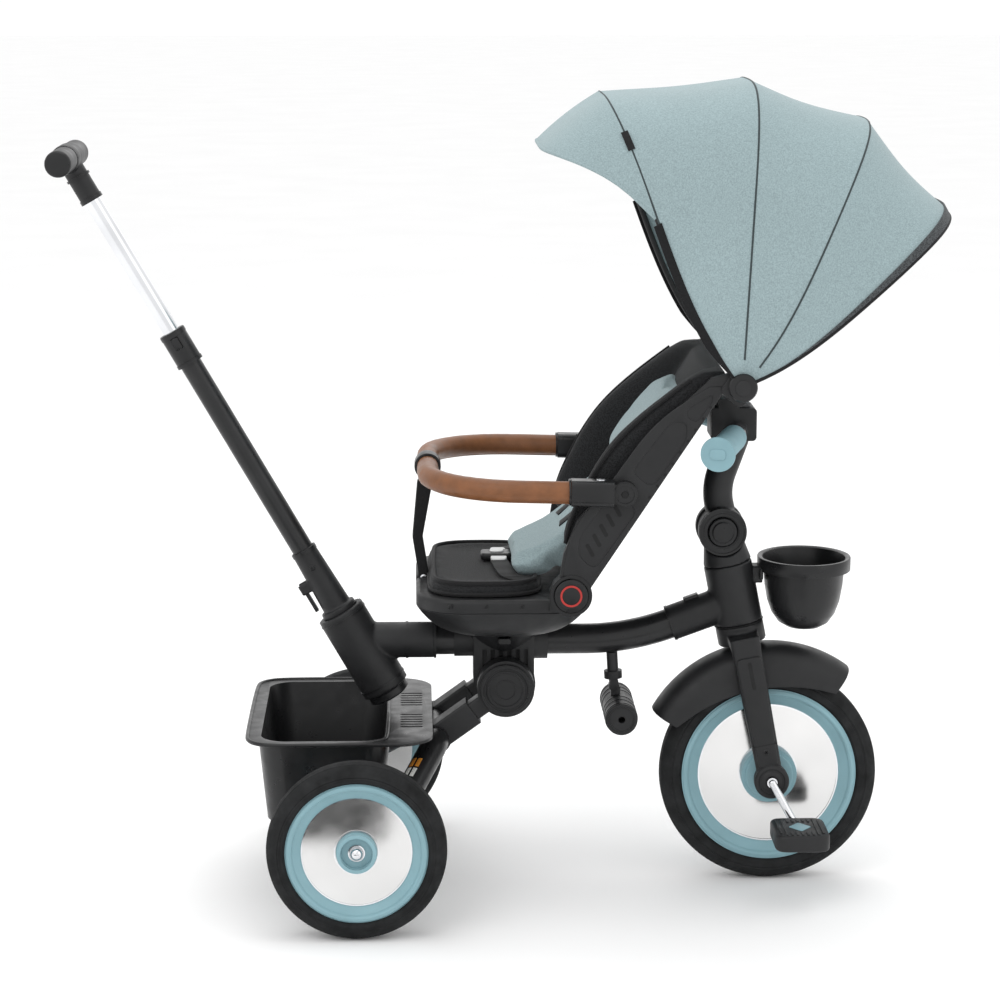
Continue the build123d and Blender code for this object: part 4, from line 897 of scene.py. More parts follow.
# ---------------------------------------------------------------- stem and handlebar
class TRIKE_OT_handlebar(bpy.types.Operator):
    """Folding stem, its hub button, the bar clamp and the ribbed grips"""

    bl_idname = "trike.handlebar"
    bl_label = "Stem and handlebar"

    def execute(self, context):
        moulding("stem_tube", "stem_skin", "stem", "frame_plastic", "black", 1.4, 6)
        softened("stem_clamp", "bar_clamp", "stem", "frame_plastic", "black", 3.0, 4)
        softened("stem_button", "stem_button_skin", "stem_button", "frame_plastic", "black", 1.2)
        dress("chrome", "handlebar")
        for side, label in ((-1, "right"), (1, "left")):
            face = ACROSS * side
            outer = STEM_HUB + face * (22.6 * MM)
            ring(f"hub_rim_{label}", outer, face, 27.6, 2.4, "stem", "frame_plastic", "smooth_black", 1.5)
            ring(f"hub_step_{label}", outer, face, 21.6, 2.0, "stem", "frame_plastic", "smooth_black", 1.3)
        button("stem_button_dome", STEM_HUB - ACROSS * (25.3 * MM), -ACROSS, 12.5, 2.4, "stem_button",
               "frame_plastic", "smooth_black", 1.2)
        button("stem_hub_plug", STEM_HUB + ACROSS * (22.6 * MM), ACROSS, 15, 3, "stem", "frame_plastic",
               "smooth_black", 1.2)
        top = Vector((0.266, 0, 0.542))
        pad = rounded([(-20, -19), (20, -19), (20, 19), (-20, 19)], 6, 5)
        piece = slab("clamp_pad", pad, lambda u, v: top + point(u, v, 18.6), point(0, 0, 5), 1.8, 4)
        wear(piece, "stem", "frame_plastic", "grey")
        for number, (x, y) in enumerate(((-19, 17), (19, 17), (19, -17), (-19, -17))):
            screw(f"clamp_screw_{number}", top + point(x, y, 18.4), (0, 0, 1), 2.8, "stem", "frame_plastic")
        inner = Vector((0.272, 0, 0.536))
        for side, label in ((-1, "right"), (1, "left")):
            end = Vector((0.235, side * 0.163, 0.532))
            knee = Vector((0.272, side * 0.034, 0.536))
            out = (end - knee).normalized()
            profile = [(0, -2), (13, -2), (19.2, -2.4), (19.6, -0.5), (19, 1.6), (16.6, 2.6), (15, 4)]
            along = 6
            while along < 96:
                profile += [(14.6, along), (14.9, along + 1.4), (14.9, along + 3.6), (14.4, along + 5)]
                along += 6
            profile += [(14.4, 99), (13.4, 102), (9.8, 102.4), (9.8, 96), (0, 96)]
            grip = turned(f"grip_{label}", profile, end + out * (4 * MM), -out, 56, 28)
            wear(grip, "stem", "teal_plastic", "teal_grip", *(("handlebar_grips",) if side < 0 else ()))
            oval = rounded([(-9, -6), (9, -6), (9, 6), (-9, 6)], 6, 6)
            up = Vector((0, 0, 1))
            across = out.cross(up).normalized()
            mark = slab(f"grip_end_{label}", oval,
                        lambda u, v, e=end, o=out, a=across: e + o * (5.9 * MM) + a * (u * MM) + up * (v * MM),
                        out * (1.0 * MM), 0.4, 2)
            wear(mark, "stem", "teal_plastic", "teal")
        return {"FINISHED"}


# ---------------------------------------------------------------- push handle
class TRIKE_OT_push_handle(bpy.types.Operator):
    """Socket, telescoping tubes, collar, button, lever and T grip"""

    bl_idname = "trike.push_handle"
    bl_label = "Push handle"

    def execute(self, context):
        moulding("push_socket", "push_socket_skin", "push_head", "frame_plastic", "black", 1.3, 4)
        dress("tube", "push_outer_tube")
        dress("chrome", "push_inner_tube")
        softened("push_collar", "push_collar_skin", "push_head", "frame_plastic", "smooth_black", 1.2)
        softened("push_lever", "push_lever_skin", "push_lever", "frame_plastic", "black", 0.8)
        softened("push_button", "push_button_skin", "push_button", "frame_plastic", "smooth_black", 0.6)
        moulding("push_grip", "push_grip_skin", "push_inner", "leather", "black", 1.5, 8)
        for q, radius, height in ((441, 15.8, 4), (477, 15.6, 5), (185, 15.4, 5)):
            ring(f"collar_band_{q}", on_push(q), PUSH_UP, radius, 3, "push_head", "frame_plastic", "smooth_black",
                 height)
        ring("neck_band", on_push(655), PUSH_UP, 13.4, 2.6, "push_inner", "frame_plastic", "smooth_black", 5)
        ring("neck_step", on_push(684), PUSH_UP, 14.2, 2.6, "push_inner", "frame_plastic", "smooth_black", 3)
        centre = on_push(710)
        for side, label in ((-1, "right"), (1, "left")):
            end = [(0, 93), (11.5, 93), (13.6, 94), (13.9, 95.2), (12.8, 96.2), (9, 97), (0, 97.4)]
            cap = turned(f"handle_end_{label}", [(r, side * y) for r, y in end], centre, ACROSS, 48, 30)
            wear(cap, "push_inner", "leather", "smooth_black")
            ring(f"handle_seam_{label}", centre + ACROSS * (side * 26 * MM), ACROSS * side, 15.5, 1.4, "push_inner",
                 "leather", "smooth_black", 1.6)
            screw(f"socket_screw_{label}", on_push(168, 0, side * 15.4), ACROSS * side, 3.2, "push_head",
                  "frame_plastic")
        return {"FINISHED"}


# ---------------------------------------------------------------- rear frame and baskets
class TRIKE_OT_rear_frame(bpy.types.Operator):
    """Folding legs, hub covers and the arched rear tube"""

    bl_idname = "trike.rear_frame"
    bl_label = "Rear frame"

    def execute(self, context):
        dress("tube", "arch_tube")
        softened("rear_legs", "rear_legs_skin", "rear_frame", "frame_plastic", "black", 2.4, 4)
        softened("fold_pin", "hub_cover", "rear_frame", "teal_plastic", "smooth_black", 1.2)
        for side, label in ((-1, "right"), (1, "left")):
            face = ACROSS * side
            outer = FOLD_HUB + face * (58.0 * MM)
            for radius, thick, height in ((28.4, 2.2, 1.6), (20.6, 1.6, 1.4), (12, 1.4, 1.3)):
                ring(f"hub_ring_{int(radius)}_{label}", outer, face, radius, thick, "rear_frame", "teal_plastic",
                     "smooth_black", height)
            # reflectors lie along the arched tube, wrapped on its outer side
            low = point(-112, side * 150, 138)
            high = point(-76, side * 68, 182)
            way = (high - low).normalized()
            middle = low + (high - low) * 0.4
            outward = (ACROSS * side * 0.9 + point(-350, 0, 250)).normalized()
            outward = (outward - way * outward.dot(way)).normalized()
            for number, (word, turn_by, reach) in enumerate((("orange", -0.42, 7), ("orange", 0.05, 7),
                                                             ("silver", -0.42, -10), ("silver", 0.05, -10))):
                sideways = way.cross(outward)
                out = outward * math.cos(turn_by) + sideways * math.sin(turn_by)
                line = [middle + way * ((reach + step) * MM) + out * (15.25 * MM) for step in (-7, 0, 7)]
                strip = ribbon(f"reflector_{number}_{label}", line, 4.6, 0.7, way.cross(out))
                wear(strip, "rear_frame", "frame_tube", word)
        return {"FINISHED"}


def bowl(name, rim_points, levels, body, slot, word, node, wall):
    """A tub: one closed outline scaled and lowered level by level, then given a wall and rounded edges.

    levels holds (shrink in mm, z in mm) from the rim's outer edge down and the last is the floor.
    """
    count = len(rim_points)
    middle = sum((Vector(spot) for spot in rim_points), Vector((0, 0))) / count
    points, faces = [], []
    for shrink, z in levels:
        for spot in rim_points:
            arm = Vector(spot) - middle
            reach = arm * ((arm.length - shrink) / arm.length)
            points.append(point(middle.x + reach.x, middle.y + reach.y, z))
    for level in range(len(levels) - 1):
        for number in range(count):
            after = (number + 1) % count
            faces.append((level * count + number, level * count + after, (level + 1) * count + after,
                          (level + 1) * count + number))
    faces.append(tuple((len(levels) - 1) * count + number for number in range(count)))
    piece = mesh_piece(name, points, (), faces)
    tidy_mesh(piece)
    thick = piece.modifiers.new("wall", "SOLIDIFY")
    thick.thickness, thick.offset = wall * MM, -1
    edge = piece.modifiers.new("edge", "BEVEL")
    edge.width, edge.segments, edge.limit_method = 0.9 * MM, 3, "ANGLE"
    edge.angle_limit = math.radians(50)
    apply_modifiers(piece)
    tidy_mesh(piece, 0.001)
    smooth(piece, 40)
    return wear(piece, body, slot, word, *((node,) if node else ()))


class TRIKE_OT_baskets(bpy.types.Operator):
    """Rear tub with its slotted step and the front tub on the steering head"""

    bl_idname = "trike.baskets"
    bl_label = "Baskets"

    def execute(self, context):
        basket = softened("rear_basket", "rear_tub", "rear_frame", "black_gloss", "smooth_black", 1.2, 3)
        smooth(basket, 30)
        low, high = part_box("rear_basket")
        x0, x1 = low[0] / MM, -128
        outline = rounded([(x0, -155), (x1 - 2, -155), (x1 - 2, 155), (x0, 155)], 42, 10)
        lip = tube("rear_tub_lip", [point(spot.x, spot.y, 202.4) for spot in outline[::2]], 2.4, True)
        wear(lip, "rear_frame", "black_gloss", "smooth_black")
        rim = [(352 + 54 * math.cos(math.radians(5 * n)), 61 * math.sin(math.radians(5 * n))) for n in range(72)]
        levels = [(0.2, 369), (0, 383), (0.6, 384), (3.4, 384.2), (6, 382.6), (9, 371), (11, 350), (14, 333), (19, 319),
                  (26, 309), (34, 304.4), (42, 303)]
        bowl("front_tub", rim, levels, "frame", "black_gloss", "smooth_black", "front_basket", 2.0)
        hook = rounded([(-13, -10), (13, -10), (13, 10), (-13, 10)], 4, 4)
        piece = slab("front_tub_bracket", hook, lambda u, v: point(291, u, 364 + v), point(12, 0, 0), 1.5, 3)
        wear(piece, "frame", "black_gloss", "black")
        band = rounded([(-20, -7), (20, -7), (20, 7), (-20, 7)], 4, 4)
        piece = slab("front_tub_plate", band, lambda u, v: point(299, u, 366 + v), point(4, 0, 0), 1.2, 3)
        wear(piece, "frame", "black_gloss", "smooth_black")
        return {"FINISHED"}


class TRIKE_OT_footrest(bpy.types.Operator):
    """Foot roller with end plugs"""

    bl_idname = "trike.footrest"
    bl_label = "Foot roller"

    def execute(self, context):
        softened("footrest", "foot_roller", "footrest", "frame_plastic", "black", 1.2)
        centre = Vector((0.138, 0, 0.203))
        for side, label in ((-1, "right"), (1, "left")):
            ring(f"roller_rim_{label}", centre + ACROSS * (side * 54.8 * MM), ACROSS * side, 15.5, 2,
                 "footrest", "frame_plastic", "smooth_black", 1.0)
            for number, reach in enumerate((14, 30, 46)):
                ring(f"roller_band_{number}_{label}", centre + ACROSS * (side * reach * MM), ACROSS * side, 19.1, 1.6,
                     "footrest", "frame_plastic", "smooth_black", 2.0)
        return {"FINISHED"}


# ---------------------------------------------------------------- soft goods
def eased_line(points, count):
    """Evenly numbered points on a smooth line through the given ones."""
    points = [Vector(spot) for spot in points]
    padded = [points[0] * 2 - points[1]] + points + [points[-1] * 2 - points[-2]]
    out = []
    for step in range(count + 1):
        place = step / count * (len(points) - 1)
        first = min(int(place), len(points) - 2)
        t = place - first
        a, b, c, d = padded[first:first + 4]
        out.append(0.5 * ((2 * b) + (c - a) * t + (2 * a - 5 * b + 4 * c - d) * t * t
                          + (3 * b - 3 * c + d - a) * t ** 3))
    return out


def pad(name, line, half_width, thickness, channels=(), lengthwise=(), corner=0.2, depth=0.35):
    """A crowned closed pad laid along a side-view line of points in metres.

    channels are sewn lines across at parts 0..1 of its length; lengthwise ones at -1..1 of its width.
    """
    rows, columns = 56, 44
    spine = eased_line(line, rows)
    points = []
    for layer in (1, -1):
        for row, spot in enumerate(spine):
            ahead = (spine[min(row + 1, rows)] - spine[max(row - 1, 0)]).normalized()
            out = ahead.cross(ACROSS) * -1
            u = row / rows
            ends = 1 - abs(2 * u - 1) ** 5
            wide = half_width * (1 - corner * (1 - max(0.0, ends) ** 0.5))
            for column in range(columns + 1):
                v = column / columns * 2 - 1
                swell = (max(0.0, ends) * (1 - abs(v) ** 5)) ** 0.5
                height = thickness * swell
                for line_at in channels:
                    height -= depth * thickness * swell * math.exp(-((u - line_at) * rows / 1.1) ** 2)
                for line_at in lengthwise:
                    height -= depth * thickness * swell * math.exp(-((v - line_at) * columns / 2.2) ** 2)
                if layer < 0:
                    height = -0.12 * thickness * swell
                points.append(spot + out * (height * MM) + ACROSS * (v * wide * MM))
    faces = []
    size = (rows + 1) * (columns + 1)
    for layer in (0, 1):
        for row in range(rows):
            for column in range(columns):
                corner_at = layer * size + row * (columns + 1) + column
                face = (corner_at, corner_at + 1, corner_at + columns + 2, corner_at + columns + 1)
                faces.append(face if layer else face[::-1])
    piece = mesh_piece(name, points, (), faces)
    tidy_mesh(piece, 0.01)
    smooth(piece, 60)
    return piece


def inflate(piece, cap, grid=5.0, pressure=4.0, frames=20):
    """Swell a pad with a short cloth run, no point moving further than cap (metres), then subdivide."""
    remesh = piece.modifiers.new("even", "REMESH")
    remesh.mode, remesh.voxel_size = "VOXEL", grid * MM
    apply_modifiers(piece)
    rest = [vertex.co.copy() for vertex in piece.data.vertices]
    cloth = piece.modifiers.new("swell", "CLOTH")
    cloth.settings.quality = 5
    cloth.settings.mass = 0.3
    cloth.settings.use_pressure = True
    cloth.settings.uniform_pressure_force = pressure
    cloth.settings.effector_weights.gravity = 0.0
    cloth.settings.tension_stiffness = 12
    cloth.settings.compression_stiffness = 12
    cloth.settings.bending_stiffness = 0.4
    scene = bpy.context.scene
    for step in range(1, frames + 1):
        scene.frame_set(step)
    apply_modifiers(piece)
    scene.frame_set(1)
    for vertex, start in zip(piece.data.vertices, rest):
        move = vertex.co - start
        if move.length > cap:
            vertex.co = start + move.normalized() * cap
    finer = piece.modifiers.new("finer", "SUBSURF")
    finer.levels = finer.render_levels = 1
    apply_modifiers(piece)
    smooth(piece, 60)
    return piece


def melted(node, name, grid, rounds):
    """A CAD soft solid remeshed evenly and eased, as a start for a padded piece."""
    piece = copy_of(node, name, 0)
    remesh = piece.modifiers.new("even", "REMESH")
    remesh.mode, remesh.voxel_size = "VOXEL", grid * MM
    ease = piece.modifiers.new("ease", "SMOOTH")
    ease.factor, ease.iterations = 0.5, rounds
    apply_modifiers(piece)
    smooth(piece, 60)
    return piece


def ribbon(name, points, width, thickness, sideways=ACROSS):
    """A flat strap in millimetres along a smooth line of points in metres."""
    spine = eased_line(points, 12 * (len(points) - 1))
    corners, faces = [], []
    for number, spot in enumerate(spine):
        ahead = (spine[min(number + 1, len(spine) - 1)] - spine[max(number - 1, 0)]).normalized()
        wide = (sideways - ahead * sideways.dot(ahead)).normalized()
        up = ahead.cross(wide).normalized()
        for across, rise in ((-1, -1), (1, -1), (1, 1), (-1, 1)):
            corners.append(spot + wide * (across * width / 2 * MM) + up * (rise * thickness / 2 * MM))
    for number in range(len(spine) - 1):
        for side in range(4):
            first, second = number * 4 + side, number * 4 + (side + 1) % 4
            faces.append((first, second, second + 4, first + 4))
    faces += [(3, 2, 1, 0), tuple(len(corners) - 4 + n for n in range(4))]
    piece = mesh_piece(name, corners, (), faces)
    tidy_mesh(piece, 0.001)
    edge = piece.modifiers.new("edge", "BEVEL")
    edge.width, edge.segments, edge.limit_method = 0.35 * thickness * MM, 2, "ANGLE"
    apply_modifiers(piece)
    smooth(piece, 50)
    return piece


def seat_pad_shape(name, x0, x1, half, corner):
    """The seat cushion: a rounded plan, a rolled rim and a top that dips to the middle."""
    floor_z, rim_z, dip = 363.5, 379.0, 5.0
    rims = ((0.0, floor_z), (0.0, floor_z + 2), (-1.5, 371), (0.0, 375.5), (2.5, rim_z - 1), (6, rim_z), (10, rim_z - 1),
            (16, rim_z - 2.5), (28, rim_z - dip), (44, rim_z - dip - 1))
    points, faces = [], []
    count = 0
    for inset, z in rims:
        radius = max(6.0, corner - inset)
        low, high, side = x0 + inset, x1 - inset, half - inset
        outline = rounded([(low, -side), (high, -side), (high, side), (low, side)], radius, 10)
        count = len(outline)
        points += [point(spot.x, spot.y, z) for spot in outline]
    for level in range(len(rims) - 1):
        for number in range(count):
            after = (number + 1) % count
            faces.append((level * count + number, level * count + after, (level + 1) * count + after,
                          (level + 1) * count + number))
    faces.append(tuple((len(rims) - 1) * count + number for number in range(count)))
    faces.append(tuple(reversed(range(count))))
    piece = mesh_piece(name, points, (), faces)
    tidy_mesh(piece)
    smooth(piece, 60)
    return piece


class TRIKE_OT_seat(bpy.types.Operator):
    """Seat pan, its cover, the mesh seat cushion with piping, and the harness buckle"""

    bl_idname = "trike.seat"
    bl_label = "Seat"

    def execute(self, context):
        looks = context.scene.trike_looks
        softened("seat_cover", "seat_shell", "seat", "frame_plastic", "black", 1.5)
        softened("seat_pan", "seat_deck", "seat", "frame_plastic", "black", 1.6)
        cushion = seat_pad_shape("seat_pad", -84, 44, 125, 52)
        inflate(cushion, looks.pad_fullness * 0.4, 5.0)
        wear(cushion, "seat", "mesh_fabric", "mesh", "seat_cushion")
        for number, (z, inset, radius) in enumerate(((378.5, 5.5, 2.6), (366.5, 0.5, 2.2))):
            x0, x1, half = -84 + inset, 44 - inset, 125 - inset
            outline = rounded([(x0, -half), (x1, -half), (x1, half), (x0, half)], 52 - inset, 10)
            line = [point(spot.x, spot.y, z) for spot in outline[::2]]
            piping = tube(f"seat_piping_{number}", line, radius, True, steps=4)
            wear(piping, "seat", "mesh_fabric", "tape")
        for side, label in ((-1, "right"), (1, "left")):
            face = ACROSS * side
            for number, x in enumerate((-60, -20, 20)):
                screw(f"deck_screw_{number}_{label}", point(x, side * 137.6, 356), face, 2.6, "seat",
                      "frame_plastic")
        # buckle of the harness, lying on the seat
        body = rounded([(-19, -15), (19, -15), (19, 15), (-19, 15)], 8, 5)
        piece = slab("buckle_body", body, lambda u, v: point(-4 + u, 26 + v, 377), point(0, 0, 9), 3, 4)
        wear(piece, "seat", "frame_plastic", "smooth_black")
        key = rounded([(-8, -8), (8, -8), (8, 8), (-8, 8)], 7, 5)
        piece = slab("buckle_key", key, lambda u, v: point(-4 + u, 26 + v, 385.6), point(0, 0, 2.4), 1, 3)
        wear(piece, "seat", "frame_plastic", "white")
        for side, label in ((-1, "right"), (1, "left")):
            clip = rounded([(-10, 16), (10, 16), (8, 34), (-8, 34)], 4, 4)
            piece = slab(f"buckle_clip_{label}", [(u, side * v) for u, v in clip],
                         lambda u, v: point(-2 + u, 26 + v, 379), point(0, 0, 5), 1.2, 3)
            wear(piece, "seat", "frame_plastic", "white")
            strap = ribbon(f"lap_strap_{label}", [point(-2, 26 + side * 32, 381.5), point(6, side * 72, 379.5),
                                                  point(18, side * 90, 378), point(30, side * 102, 377)], 20, 1.8,
                           Vector((1, 0, 0)))
            wear(strap, "seat", "mesh_fabric", "tape")
        return {"FINISHED"}


BOLSTER_EDGE = ((30, 22), (44, 38), (64, 47), (96, 52), (132, 56), (170, 55), (206, 47), (240, 36), (272, 24), (300, 8))
WING_EDGE = ((14, 20), (34, 30), (60, 38), (90, 39), (120, 35), (150, 34), (190, 32), (222, 26), (252, 15), (278, 3))


def bolster_pad(name):
    """The backrest's black padding: a flat back with a full rounded bolster down each side."""
    rows, columns = 60, 60
    edge = eased_line([(a, b, 0) for a, b in BOLSTER_EDGE], rows)
    half, inner, back_at = 140.5, 92.0, -6.5
    points = []
    for layer in (0, 1):
        for spot in edge:
            ends = min(1.0, (spot.x - 29) / 14, (301 - spot.x) / 14)
            for column in range(columns + 1):
                y = half * math.sin(math.pi / 2 * (column / columns * 2 - 1))
                rise = max(0.0, min(1.0, (abs(y) - inner) / (half - inner)))
                crest = math.sin(math.pi * min(1.0, rise * 0.72)) ** 0.8 if rise > 0 else 0
                flat = 6 + 5 * math.cos(y / inner * math.pi / 2) if abs(y) < inner else 6
                height = flat + (spot.y - flat) * crest
                height = back_at + (height - back_at) * max(0.0, ends) ** 0.5
                points.append(on_back(spot.x, back_at if layer else height, y))
    size = (rows + 1) * (columns + 1)
    faces = []
    for layer in (0, 1):
        for row in range(rows):
            for column in range(columns):
                low = layer * size + row * (columns + 1) + column
                face = (low, low + 1, low + columns + 2, low + columns + 1)
                faces.append(face if layer else face[::-1])
    for row in range(rows):
        for column in (0, columns):
            low = row * (columns + 1) + column
            faces.append((low, low + columns + 1, low + columns + 1 + size, low + size))
    for row in (0, rows):
        for column in range(columns):
            low = row * (columns + 1) + column
            faces.append((low, low + 1, low + 1 + size, low + size))
    piece = mesh_piece(name, points, (), faces)
    tidy_mesh(piece, 0.05)
    remesh = piece.modifiers.new("even", "REMESH")
    remesh.mode, remesh.voxel_size = "VOXEL", 3.2 * MM
    ease = piece.modifiers.new("ease", "SMOOTH")
    ease.factor, ease.iterations = 0.5, 4
    apply_modifiers(piece)
    smooth(piece, 60)
    return piece


def wing_plate(side, label):
    """A wing's outer face: one curved plate with a slotted panel and two long recesses; the slots are thin dark plates
    of painted shade.
    """
    front = eased_line([(a, b, 0) for a, b in WING_EDGE], 40)
    outline = [(spot.x, spot.y) for spot in front] + [(286, -8), (282, -13.2), (150, -13.2), (20, -13.2), (17, -8)]

    def face_of(depth):
        return lambda u, v: on_back(u, v, side * depth)

    push = ACROSS * (side * 2.6 * MM)
    plate = slab(f"wing_plate_{label}", outline, face_of(150.2), push, 1.2, 3)
    cutters = []
    shapes = [rounded(corners, radius, 6) for corners, radius in (
        ([(38, -6), (118, -8), (124, 8), (112, 27), (62, 30), (42, 20)], 12),
        ([(150, -8), (216, -9), (232, 2), (222, 17), (152, 22)], 11),
        ([(238, -8), (268, -9), (272, -4), (244, 10), (236, 4)], 5))]
    for number, shape in enumerate(shapes):
        cutters.append(slab("cut", shape, face_of(151.6), ACROSS * (side * 5 * MM), 0))
    carve(plate, *cutters)
    edge = plate.modifiers.new("edge", "BEVEL")
    edge.width, edge.segments, edge.limit_method = 0.5 * MM, 2, "ANGLE"
    edge.angle_limit = math.radians(40)
    apply_modifiers(plate)
    smooth(plate, 35)
    wear(plate, "backrest", "frame_plastic", "black")
    # painted shade: five thin dark plates in the slotted panel stand in for the shade in the slots
    for number in range(5):
        lean = math.radians(62)
        middle = (54 + 13.5 * number, 11)
        slot = rounded([(-8, -2.2), (8, -2.2), (8, 2.2), (-8, 2.2)], 2.1, 4)
        turned_slot = [(middle[0] + u * math.cos(lean) - v * math.sin(lean),
                        middle[1] + u * math.sin(lean) + v * math.cos(lean)) for u, v in slot]
        piece = slab(f"wing_slot_shade_{number}_{label}", turned_slot, face_of(151.5), ACROSS * (side * 0.35 * MM), 0)
        wear(piece, "backrest", "frame_plastic", "deep_black")


class TRIKE_OT_backrest(bpy.types.Operator):
    """Backrest shell with recessed wings, recline hubs, mesh pad and the two teal pads"""

    bl_idname = "trike.backrest"
    bl_label = "Backrest"

    def execute(self, context):
        looks = context.scene.trike_looks
        shell = copy_of("backrest_shell", "back_shell")
        edge = shell.modifiers.new("edge", "BEVEL")
        edge.width, edge.segments, edge.limit_method = 1.0 * MM, 3, "ANGLE"
        edge.angle_limit = math.radians(32)
        apply_modifiers(shell)
        smooth(shell, 32)
        wear(shell, "backrest", "frame_plastic", "black", "backrest_shell")
        for side, label in ((-1, "right"), (1, "left")):
            face = ACROSS * side
            softened(f"recline_button_{label}", f"recline_knob_{label}", f"recline_button_{label}",
                     "frame_plastic", "smooth_black", 1.2)
            ring(f"recline_ring_{label}", Vector((RECLINE.x, side * 0.1549, RECLINE.z)), face, 12.2, 2.2,
                 f"recline_button_{label}", "frame_plastic", "red", 0.9)
            ring(f"recline_bezel_{label}", Vector((RECLINE.x, side * 0.1512, RECLINE.z)), face, 23.4, 3.6,
                 "backrest", "frame_plastic", "smooth_black", 2.2)
            wing_plate(side, label)
            # painted shade: nine low dark dots stand in for the shade in the wing's holes
            for number in range(9):
                button(f"wing_hole_shade_{number}_{label}", on_back(140 + number * 15, -10.8, side * 152.6),
                       face, 1.7, 0.4, "backrest", "frame_plastic", "deep_black", 0.1)
            plate = rounded([(276, -40), (306, -40), (318, -26), (308, -10), (280, -8)], 8, 5)
            piece = slab(f"canopy_bracket_{label}", plate, lambda u, v, y=side * 151.5: on_back(u, v, y),
                         face * (2.4 * MM), 0.8, 3)
            wear(piece, "backrest", "frame_plastic", "black")
        support = bolster_pad("back_mesh_pad")
        wear(support, "backrest", "mesh_fabric", "mesh", "backrest_pad")
        for side, label in ((-1, "right"), (1, "left")):
            line = [on_back(a, b - 1.5, side * 139) for a, b in BOLSTER_EDGE[1:-1]]
            piping = tube(f"bolster_piping_{label}", line, 2.2, steps=8)
            wear(piping, "backrest", "mesh_fabric", "tape")
        head = pad("head_pad", [on_back(a, b) for a, b in ((128, 22), (160, 24), (200, 22), (232, 17), (258, 10))], 90, 24,
                   (0.36, 0.68), (-0.62, 0.62))
        inflate(head, looks.pad_fullness, 4.2)
        wear(head, "backrest", "teal_fabric", "fabric", "head_cushion")
        lower = pad("body_pad", [on_back(a, b) for a, b in ((122, 18), (92, 20), (62, 24), (36, 31), (14, 42), (-6, 56), (-17, 70))],
                    88, -24, (0.34, 0.67), (-0.6, 0.6))
        inflate(lower, looks.pad_fullness, 4.2)
        wear(lower, "backrest", "teal_fabric", "fabric", "body_cushion")
        for side, label in ((-1, "right"), (1, "left")):
            strap = ribbon(f"shoulder_strap_{label}", [on_back(126, 22, side * 34), on_back(112, 27, side * 34),
                                                       on_back(88, 29, side * 34), on_back(62, 33, side * 32),
                                                       on_back(44, 38, side * 30)], 22, 2.0)
            wear(strap, "backrest", "mesh_fabric", "tape")
        return {"FINISHED"}


def bumper_line(reach_back, steps=16):
    """The bumper bar's centre line in metres, from one side round the front to the other."""
    low, corner = -0.084, 0.100
    half = 0.159
    start_x = reach_back
    slope = (0.493 - 0.4875) / (0.132 + 0.084)
    line = [Vector((start_x, -half, 0)), Vector(((start_x + low + corner) / 2, -half, 0))]
    centre = Vector((low + corner, -half + corner, 0))
    for step in range(steps + 1):
        turn = math.pi / 2 * step / steps
        line.append(centre + Vector((-math.sin(turn) * corner, -math.cos(turn) * corner, 0)))
    line += [Vector((spot.x, -spot.y, 0)) for spot in reversed(line)]
    for spot in line:
        spot.z = 0.4875 + (0.132 - spot.x) * slope
    return line


class TRIKE_OT_bumper(bpy.types.Operator):
    """Leatherette bumper bar, its end sockets and ring, and the crotch strap"""

    bl_idname = "trike.bumper"
    bl_label = "Bumper bar and strap"

    def execute(self, context):
        line = bumper_line(0.094)
        sleeve = tube("bumper_sleeve", line, 12.2, steps=3, sides=6, order=3)
        for vertex in sleeve.data.vertices:
            ripple = noise.noise(vertex.co * 95) * 0.25 + noise.noise(vertex.co * 300) * 0.1
            vertex.co += vertex.normal * (ripple * MM)
        wear(sleeve, "bumper", "leather", "leather", "bumper_bar")
        seam = tube("bumper_seam", [spot + point(0, 0, -12.3) for spot in line], 0.9, steps=3, sides=3, order=3)
        wear(seam, "bumper", "leather", "leather")
        softened("bumper_fittings", "bumper_sockets", "bumper", "frame_plastic", "smooth_black", 2.2, 4)
        for side, label in ((-1, "right"), (1, "left")):
            face = ACROSS * side
            button(f"socket_button_{label}", point(106, side * 159, 501.5), (0.03, 0, 1), 5.2, 2.2, "bumper",
                   "chrome", "steel", 0.6)
            ring(f"eye_ring_{label}", BUMPER_EYE + face * (166.8 * MM) - ACROSS * BUMPER_EYE.y, face, 12.6, 2.2,
                 "bumper", "frame_plastic", "smooth_black", 1.2)
            button(f"eye_pin_{label}", on_back(128.8, 15.7, side * 166.2), face, 3.9, 1.2, "backrest",
                   "frame_plastic", "deep_black", 0.5)
            ring(f"socket_lip_{label}", point(72.6, side * 159, 489.2), (-1, 0, 0), 14.8, 2.2, "bumper",
                 "frame_plastic", "smooth_black", 2.0)
        strap = melted("crotch_strap", "crotch_strap_pad", 1.8, 5)
        wear(strap, "crotch_strap", "teal_fabric", "lining", "crotch_strap")
        for side, label in ((-1, "right"), (1, "left")):
            button(f"strap_rivet_{label}", point(-88.9, side * 8.6, 361.5), ACROSS * side, 4.6, 1.4, "crotch_strap",
                   "chrome", "steel", 0.7)
        return {"FINISHED"}


# ---------------------------------------------------------------- canopy
BOW_ANGLES = (38.0, 62.4, 87.0, 115.2)
BOW_REACH = (303.0, 320.5, 328.0, 344.5)
BOW_HALF = (154.5, 155.0, 157.0, 159.5)
SHOULDER = (150.0, 148.0, 132.0, 124.0)
SQUARENESS = (3.0, 3.0, 3.5, 3.7)
VISOR_ANGLE = 130.5
FOOT_REACH = 13.0
MIDDLE_ANGLE = 87.0
SPLAY = 18.0
SPLAY_POWER = 2.3
SPLAY_SPAN = 28.0


def between(values, number, t):
    """Value part t of the way from one bow to the next."""
    return values[number] + (values[number + 1] - values[number]) * t


def hood_spot(angle, reach, side_at):
    """A point of the hood: angle above +X, reach from the pivot and side_at across, in mm."""
    turn = math.radians(angle)
    return CANOPY + point(reach * math.cos(turn), side_at, reach * math.sin(turn)) - ACROSS * CANOPY.y


